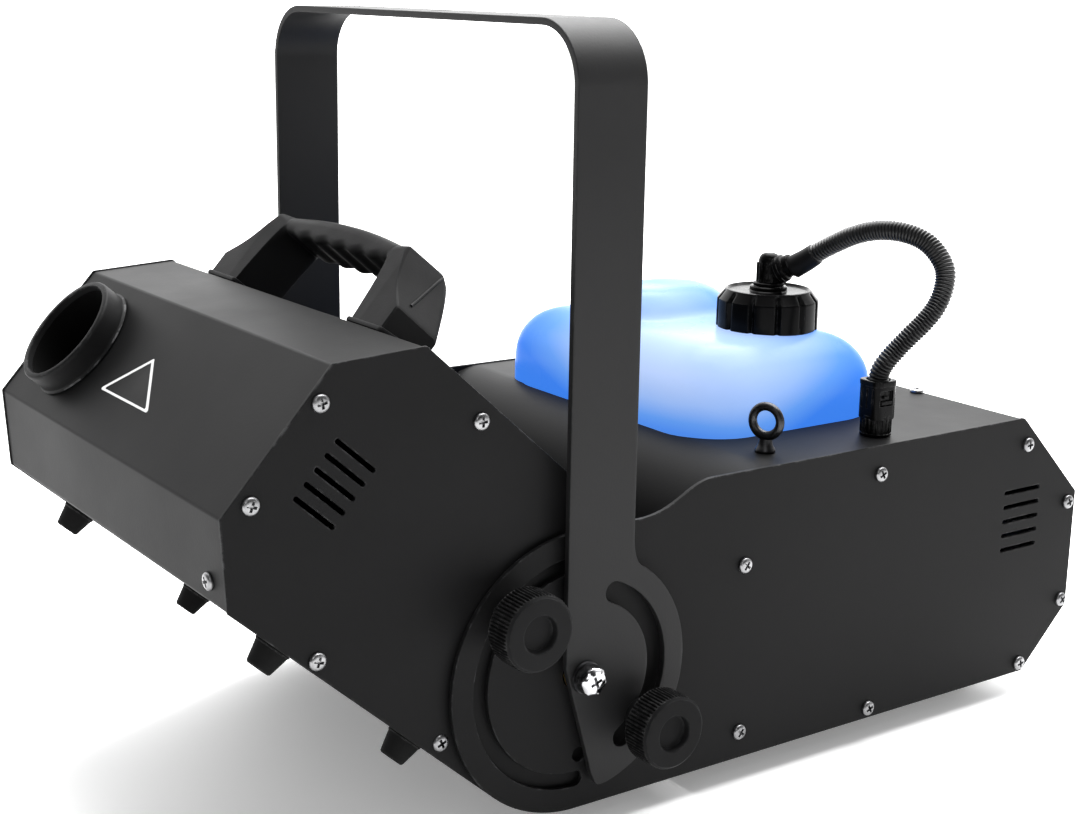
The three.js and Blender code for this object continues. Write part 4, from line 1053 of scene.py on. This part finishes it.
def handle_top(far, bulge=-0.2):
    """Height of the handle's outer line: a low crown, a slope and an upright foot."""
    if far <= SHOULDER_X:
        return CROWN_Z - (CROWN_Z - SHOULDER_Z) * (far / SHOULDER_X) ** 2
    t = (far - SHOULDER_X) / (FOOT_OUT - SHOULDER_X)
    return SHOULDER_Z + (FOOT_TOP - SHOULDER_Z) * (t - bulge * math.sin(math.pi * t) * (1 - 0.5 * t))


def handle_section(x):
    far = abs(x)
    if far < GRIP_X - 3:
        fade = min(1.0, (GRIP_X - 3 - far) / 6)
        bottom = GRIP_Z - 1.3 * fade * (0.5 + 0.5 * math.cos(TAU * x / 15.5))
    elif far < FOOT_IN:
        t = (far - GRIP_X + 3) / (FOOT_IN - GRIP_X + 3)
        bottom = GRIP_Z + (HANDLE_SEAT - GRIP_Z) * t ** 2.4
    else:
        bottom = HANDLE_SEAT
    top = handle_top(far)
    soft = 1.0 - min(1.0, max(0.0, (far - 46) / 14))
    pinch = 0.8 * soft
    front, back = HANDLE_FRONT + pinch, HANDLE_BACK - pinch
    limit = 0.46 * (top - bottom)
    return [(x, y, z) for y, z in rounded(
        [(front, bottom), (back, bottom), (back, handle_top(far, 0.16)), (front, top - 2.0 * soft)],
        [min(1.0 + 2.4 * soft, limit), min(1.5 + 3.0 * soft, limit), min(2.6 + 4.4 * soft, limit),
         min(1.3 + 3.9 * soft, limit)], 6)]


def build_handle():
    """A moulded bail: one section swept from foot to foot, with finger grips under it."""
    stations = [FOOT_OUT, FOOT_OUT - 0.25, FOOT_OUT - 0.7]
    stations += [FOOT_OUT - 0.7 - (FOOT_OUT - 0.7 - FOOT_IN) * k / 26 for k in range(1, 27)]
    stations += [FOOT_IN - (FOOT_IN - GRIP_X + 3) * k / 18 for k in range(1, 19)]
    stations += [(GRIP_X - 3) * (1 - k / 44) for k in range(1, 45)]
    stations += [-s for s in reversed(stations[:-1])]
    rings = []
    for x in stations:
        edge = max(0.0, abs(x) - FOOT_OUT + 0.7)
        ring = handle_section(x)
        middle = Vector((x, (HANDLE_FRONT + HANDLE_BACK) / 2, (HANDLE_SEAT + FOOT_TOP) / 2))
        rings.append([middle + (Vector(p) - middle) * (1 - 0.055 * edge) if edge else p for p in ring])
    add("handle_moulding", loft(rings), HEAD, "head", GRIP, ["carry_handle"], smooth=26)
    for name, side in SIDES:
        seat = [(side * x, y) for x, y in rounded([(51.5, -146), (79, -146), (85.5, -137), (85.5, -118.8),
                                                    (51.5, -118.8)], [2, 3, 4, 5, 3])]
        pads = [moved(plate(turned(seat, True), (), 2.2, 0.7), shifted(z=HEAD_HALF - 0.1))]
        rib = []
        for k in range(10):
            t = k / 9
            x, back_share = 58 + 15.5 * t, 0.86 - 0.55 * t
            z = handle_top(x, 0.16) * back_share + handle_top(x) * (1 - back_share)
            rib.append(Vector((side * x, HANDLE_FRONT + (HANDLE_BACK - HANDLE_FRONT) * back_share, z - 0.3)))
        pads.append(tube(rib, 0.8, 10))
        add(f"handle_foot_{name}", joined(*pads), HEAD, "head", GRIP)


def build_head_feet():
    foot = lathe([(0, -10.5), (4.6, -10.5), (5.3, -10), (5.5, -9.3), (7.2, -1.6), (7.6, -1.2), (7.6, -0.4),
                  (7.3, 0), (0, 0)], 36)
    dish = lathe([(0, -7.6), (2.6, -7.6), (3.1, -10.9), (0, -10.9)], 24)
    rubber = carved(foot, dish)
    screw = copied(SCREW, shifted(0, 0, -7.7) @ Matrix.Rotation(math.pi, 4, "X") @ Matrix.Scale(0.65, 4))
    spots = ((100, -115.5), (-100, -115.5), (100, -39.5), (-100, -39.5))
    for i, (x, y) in enumerate(spots):
        place = shifted(x, y, -HEAD_HALF + TRIM)
        add(f"head_rubber_foot_{i + 1}", copied(rubber, place), HEAD, "head", RUBBER,
            [f"head_foot_{i + 1}"])
        add(f"head_foot_screw_{i + 1}", copied(screw, place), HEAD, "head", ZINC)


def build_head():
    build_head_shell()
    build_head_sides()
    build_nozzle()
    build_notice()
    build_handle()
    build_head_feet()


# ---------------------------------------------------------------- yoke
def flange_outline(leg):
    """The developed leg: y across, and z measured from the base's underside up to the bend."""
    front, back = YOKE_MIDDLE_Y - YOKE_WIDTH / 2, YOKE_MIDDLE_Y + YOKE_WIDTH / 2
    rise = math.sqrt(FLANGE_R ** 2 - back ** 2)
    end = math.degrees(math.atan2(rise, back)) - 8
    start = Vector((FLANGE_R * math.cos(rad(end)), PIVOT_Z + FLANGE_R * math.sin(rad(end))))
    corner, up = Vector((back + 0.6, PIVOT_Z + rise - 2)), Vector((back, PIVOT_Z + rise + 9))
    fillet = [tuple(start.lerp(corner, t).lerp(corner.lerp(up, t), t)) for t in [k / 8 for k in range(1, 9)]]
    tip = rounded([(front, PIVOT_Z + 5), (4, PIVOT_Z - 43), (7, PIVOT_Z - 50), (12, PIVOT_Z - 49.5)],
                  [0, 3, 3, 0])
    disc = arc(0, PIVOT_Z, FLANGE_R, -76, end, 44)
    return [(front, leg), (front, PIVOT_Z + 5), *tip[1:-1], *disc, *fillet, (back, leg)]


def build_yoke():
    """Cut flat from one strip, then bent: the strip runs along s, with its middle at s=0."""
    bend_r = YOKE_CORNER_R - YOKE_THICK / 2
    flat_top = 2 * (YOKE_INNER_X + YOKE_THICK - YOKE_CORNER_R)
    bend_length = bend_r * math.pi / 2
    leg_top = YOKE_TOP - YOKE_CORNER_R
    bend_start = flat_top / 2
    bend_end = bend_start + bend_length

    def unrolled(y, z, side):
        return (side * (bend_end + leg_top - z), y)
    leg = flange_outline(leg_top)
    outline = [unrolled(y, z, 1) for y, z in leg[::-1]] + [unrolled(y, z, -1) for y, z in leg]
    holes = [circle(0, YOKE_MIDDLE_Y, 5.2, 32)]
    for side in (1, -1):
        for hole in (arc_slot(0, PIVOT_Z, YOKE_SLOT_R, 4.5, -57.5, 67.5, 40), circle(0, PIVOT_Z, 4.3, 32)):
            holes.append([unrolled(y, z, side) for y, z in hole])
    flat = plate(outline, holes, YOKE_THICK, 0.5)
    bm = bmesh.new()
    bm.from_mesh(flat)
    cuts = 14
    for side in (1, -1):
        for k in range(cuts + 1):
            s = side * (bend_start + bend_length * k / cuts)
            bmesh.ops.bisect_plane(bm, geom=bm.verts[:] + bm.edges[:] + bm.faces[:], plane_co=(s, 0, 0),
                                   plane_no=(1, 0, 0), dist=1e-4)
    middle_z = YOKE_TOP - YOKE_THICK / 2
    for v in bm.verts:
        s, y, t = v.co
        t -= YOKE_THICK / 2
        side = 1 if s >= 0 else -1
        along = abs(s)
        if along <= bend_start:
            v.co = (s, y, middle_z + t)
        elif along <= bend_end:
            a = (along - bend_start) / bend_r
            r = bend_r + t
            v.co = (side * (bend_start + r * math.sin(a)), y, middle_z - bend_r + r * math.cos(a))
        else:
            v.co = (side * (bend_start + bend_r + t), y, middle_z - bend_r - (along - bend_end))
    bmesh.ops.recalc_face_normals(bm, faces=bm.faces)
    add("yoke_strap", finished(bm), BASE, "yoke", YOKE_COAT, ["hanging_yoke"], smooth=25)


# ---------------------------------------------------------------- knobs and pivots
def knurled_knob():
    """A clamp knob standing on z=0, its stud hidden below."""
    teeth = 64
    total, head = 23.5, 14.0
    skirt = total - head
    profile = [(0, 0), (7.7, 0), (8, 0.4), (8, skirt - 1.5), (9.2, skirt - 0.2), (13.2, skirt),
               (14.6, skirt + 0.2), (15.6, skirt + 1.0), (16, skirt + 1.6), (16, skirt + 6),
               (16, total - 2.0), (15.4, total - 1.1), (14.9, total - 0.7), (14.4, total - 0.15),
               (13.8, total), (8.2, total), (7.8, total - 0.2),
               (7.5, total - 0.8), (7.2, total - 2.6), (6.6, total - 3.0), (0, total - 3.0)]

    def wave(angle, i):
        if i not in (8, 9, 10):
            return 1.0
        return 1.0 - 0.055 * (0.5 + 0.5 * math.cos(teeth * angle)) ** 0.8
    return lathe(profile, teeth * 5, wave=wave)


def build_knobs():
    knob = knurled_knob()
    yoke_y = YOKE_SLOT_R * math.cos(YOKE_KNOB_ANGLE)
    yoke_z = PIVOT_Z + YOKE_SLOT_R * math.sin(YOKE_KNOB_ANGLE)
    long = lathe([(0, -19.5), (2.4, -19.5), (2.8, -19), (2.8, 0.5), (0, 0.5)], 20)
    short = lathe([(0, -8), (2.4, -8), (2.8, -7.6), (2.8, 0.5), (0, 0.5)], 20)
    for name, side in SIDES:
        head_seat = shifted(side * (HALF_WIDTH + 0.3), -HEAD_SLOT_R, 0) @ FACE[side]
        yoke_seat = shifted(side * YOKE_FACE_X, yoke_y, yoke_z) @ FACE[side]
        for kind, seat, place, stud in (("head", head_seat, HEAD, long), ("yoke", yoke_seat, BASE, short)):
            body = f"{kind}_knob_{name}"
            add(f"{body}_grip", copied(knob, seat), place, body, KNOB, [f"{kind}_clamp_knob_{name}"],
                smooth=24)
            add(f"{body}_stud", copied(stud, seat), place, body, ZINC)


def build_pivots():
    washer = lathe([(4.3, 0), (6.7, 0), (7.0, 0.3), (6.7, 1.2), (4.3, 1.2)], 48, closed=True)
    hexagon = [(0, 1.3), (6.1, 1.3), (6.5, 1.7), (6.5, 5.2), (5.9, 6.4), (4.6, 7.3), (2.6, 7.6), (0, 7.6)]

    def six(angle, i):
        if i not in (1, 2, 3, 4):
            return 1.0
        return 1.0 - 0.055 * (0.5 - 0.5 * math.cos(6 * angle))
    head = lathe(hexagon, 72, wave=six)
    recess = cross(3.1, 0.75)
    foot = [(x * 0.6, y * 0.6, 5.4) for x, y in recess]
    head = carved(head, loft([foot, [(x, y, 8.2) for x, y in recess]]))
    shank = lathe([(0, -25), (3.6, -25), (4, -24.5), (4, 1.5), (0, 1.5)], 24)
    for name, side in SIDES:
        place = shifted(side * YOKE_FACE_X, 0, PIVOT_Z) @ FACE[side] @ Matrix.Rotation(rad(20), 4, "Z")
        add(f"pivot_screw_{name}", copied(joined(head, shank), place), BASE, "base", CHROME,
            [f"pivot_bolt_{name}"], smooth=28)
        add(f"pivot_washer_{name}", copied(washer, place), BASE, "base", BLACKED)


# ---------------------------------------------------------------- tank, cap and elbow
def soft_block(x0, x1, y0, y1, z0, z1, corners, round_top, layers=12):
    """A block whose upright corners have their own radii and whose top edge has another."""
    def ring(inset, z):
        radii = [max(r - inset * 0.8, 3.0) for r in corners]
        outline = [(x0 + inset, y0 + inset), (x1 - inset, y0 + inset), (x1 - inset, y1 - inset),
                   (x0 + inset, y1 - inset)]
        return [(x, y, z) for x, y in rounded(outline, radii, 8)]
    rings = [ring(0, z0)]
    for k in range(layers + 1):
        a = rad(90 * k / layers)
        rings.append(ring(round_top * (1 - math.cos(a)), z1 - round_top + round_top * math.sin(a)))
    return loft(rings)


def build_tank():
    """Blow-moulded: blocks run together, remeshed and relaxed until their joints are soft."""
    low, high = (BASE.inverted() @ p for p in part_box("fluid_tank"))
    x, y = CAP_X, CAP_Y
    main = soft_block(low.x - 0.6, high.x + 0.6, low.y - 0.6, high.y + 0.6, low.z + 1, 171.8,
                      (15, 30, 18, 22), 26)
    hump = soft_block(-66, -2, 117, 201, 110, high.z - 1.2, (30, 30, 30, 30), 20)
    neck = lathe([(0, 140), (25.5, 140), (25.5, 168), (22, 171), (19, 172), (19, 180), (0, 180)], 48)
    mesh = applied(joined(main, hump, moved(neck, shifted(x, y, 0))),
                   ("REMESH", {"mode": "VOXEL", "voxel_size": 2.4}),
                   ("SMOOTH", {"factor": 0.6, "iterations": 10}))
    # the tank moulding and its neck thread carry the painted glow
    add("tank_moulding", mesh, BASE, "tank", TANK_PAINTED_GLOW, ["fluid_tank"], smooth=80)
    thread_r, pitch, steps = 19.2, 3.2, 40
    thread = [Vector((x + thread_r * math.cos(TAU * k / steps), y + thread_r * math.sin(TAU * k / steps),
                      173 + pitch * k / steps)) for k in range(100)]
    add("neck_thread", tube(thread, 0.6, 8), BASE, "tank", TANK_PAINTED_GLOW)


cap_low, cap_high = (BASE.inverted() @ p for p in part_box("tank_cap"))
CAP_X, CAP_Y = (cap_low.x + cap_high.x) / 2, (cap_low.y + cap_high.y) / 2
CAP_R = (cap_high.x - cap_low.x) / 2


def build_cap():
    z0, z1 = cap_low.z, cap_high.z
    panels = 12
    r = CAP_R
    profile = [(19.6, z0 + 13.5), (19.6, z0 + 0.4), (20.0, z0), (r - 0.8, z0), (r, z0 + 0.8), (r, z0 + 5),
               (r - 0.1, z1 - 7.2), (r - 0.3, z1 - 6.2), (r - 1.0, z1 - 5.4), (r - 3.3, z1 - 2.6),
               (r - 3.7, z1 - 2.0), (r - 4.1, z1 - 1.5), (r - 4.9, z1 - 1.4), (r - 5.3, z1 - 1.8),
               (r - 5.9, z1 - 2.4), (9.6, z1 - 2.4), (9.1, z1 - 2.0), (8.9, z1 - 0.4), (8.4, z1), (3.4, z1),
               (3.4, z0 + 13.5)]

    def wave(angle, i):
        if not 4 <= i <= 9:
            return 1.0
        phase = (angle * panels / TAU) % 1.0
        near = min(phase, 1 - phase)
        groove = max(0.0, 1 - near / 0.15)
        depth = (0.6, 1.0, 1.0, 0.95, 0.8, 0.25)[i - 4]
        return 1.0 - 0.085 * depth * (groove * groove * (3 - 2 * groove))
    cap = lathe(profile, panels * 24, closed=True, wave=wave)
    add("cap_moulding", cap, BASE @ shifted(CAP_X, CAP_Y, 0), "cap", GLOSS, ["tank_cap"],
        smooth=28)


def build_elbow():
    z1 = cap_high.z
    turn_z, post_top, post_r = 197.5, 208.0, 5.4
    way = Vector((8, 4, 4.5)).normalized()
    aim = Vector((0, 0, 1)).rotation_difference(way).to_matrix().to_4x4()
    flange = lathe([(0, z1 + 0.3), (7.4, z1 + 0.3), (7.6, z1 + 0.6), (7.6, z1 + 1.5), (7.2, z1 + 1.9),
                    (5.9, z1 + 2.2), (5.6, z1 + 3), (5.4, z1 + 4), (5.4, post_top - 4), (5.0, post_top - 2.2),
                    (4.0, post_top - 0.8), (2.4, post_top - 0.1), (0, post_top)], 40)
    ribs = [moved(block(-0.6, 0.6, -post_r - 0.9, -post_r + 1.2, z1 + 2.2, post_top - 4.5, 0.3, 2),
                  Matrix.Rotation(rad(a), 4, "Z")) for a in (-30, 0, 30, 60)]
    root = lathe([(0, 0), (4.8, 0), (4.8, 4.4), (0, 4.4)], 32)
    nut = lathe([(0, 3.4), (5.4, 3.4), (6.3, 3.8), (6.7, 4.6), (6.7, 8.6), (6.4, 9.4), (5.6, 9.9),
                 (5.4, 12.6), (0, 12.6)], 60)
    skirt = lathe([(6.5, 5.6), (6.95, 5.8), (6.95, 7.4), (6.5, 7.6)], 40, closed=True)
    outlet = moved(joined(root, nut, skirt), shifted(z=turn_z) @ aim)
    stem = lathe([(0, z1 - 18), (2.6, z1 - 18), (2.9, z1 - 17.5), (2.9, z1 + 1), (0, z1 + 1)], 20)
    add("elbow_fitting", joined(flange, *ribs, outlet, stem), BASE @ shifted(CAP_X, CAP_Y, 0), "tank", GLOSS,
        ["cap_elbow"], smooth=35)


# ---------------------------------------------------------------- pieces whose CAD shape is kept
def finish_cad_nodes():
    # the pickup tube also carries the tank's painted glow
    keep = {
        "base_floor_pan": COAT, "tank_tray": PLASTIC, "tank_led_board": BOARD, "control_board": BOARD,
        "fluid_pump": STEEL, "power_supply": ALUMINIUM, "transformer": STEEL, "heater_block": ALUMINIUM,
        "thermal_cut_out": BRASS, "pickup_tube": TANK_PAINTED_GLOW}
    for name, _ in SIDES:
        keep[f"pivot_bush_{name}"] = BRASS
    for node, material in keep.items():
        mesh = frame["nodes"][node].data
        mesh.materials.clear()
        mesh.materials.append(material)


# ---------------------------------------------------------------- floor and light
BRIGHT_SIDE = (-0.78, 0.55, 0.3)  # the sky is brightest this way, behind the object in the photo
LIGHTS_AIM = Vector((0, 0, 0.12))


def build_stage():
    """A white sweep under a soft sky that brightens towards one side."""
    view = bpy.context.scene.view_settings
    view.view_transform, view.exposure = "Standard", -0.75
    bm = bmesh.new()
    bmesh.ops.create_grid(bm, x_segments=1, y_segments=1, size=7.0)
    floor = linked("floor", finished(bm))
    s = Surface("pale_floor")
    s.set(s.shader, Base_Color=s.mix(s.noise(3.0), (0.88, 0.88, 0.88), (0.91, 0.91, 0.91)), Roughness=0.7,
          Emission_Color=(1.0, 1.0, 1.0, 1.0), Emission_Strength=0.4)
    floor.data.materials.append(s.material)
    world = bpy.data.worlds.new("studio")
    bpy.context.scene.world = world
    world.use_nodes = True
    sky = Nodes(world.node_tree)
    way = sky.node("ShaderNodeTexCoord").outputs["Generated"]
    share = sky.span(sky.vectors("DOT_PRODUCT", way, BRIGHT_SIDE), -0.5, 0.85, 0.4, 1.0)
    sky.set(sky.nodes["Background"], Color=(1.0, 1.0, 1.0, 1.0),
            Strength=sky.maths("MULTIPLY", sky.maths("POWER", share, 4.5), 6.0))
    soft_light("key", (-0.3, 0.9, 2.3), 2.4, 290.0)
    soft_light("fill", (1.7, -1.3, 1.5), 0.8, 10.0)


def soft_light(name, position, size, power):
    """A square area light, in metres and watts, turned to the middle of the object."""
    data = bpy.data.lights.new(name, "AREA")
    data.shape, data.size, data.energy = "SQUARE", size, power
    light = linked(name, data)
    light.location = position
    light.rotation_mode = "QUATERNION"
    light.rotation_quaternion = (LIGHTS_AIM - Vector(position)).to_track_quat("-Z", "Y")


build_base()
build_rear()
build_controls()
build_head()
build_yoke()
build_knobs()
build_pivots()
build_tank()
build_cap()
build_elbow()
finish_cad_nodes()
build_stage()
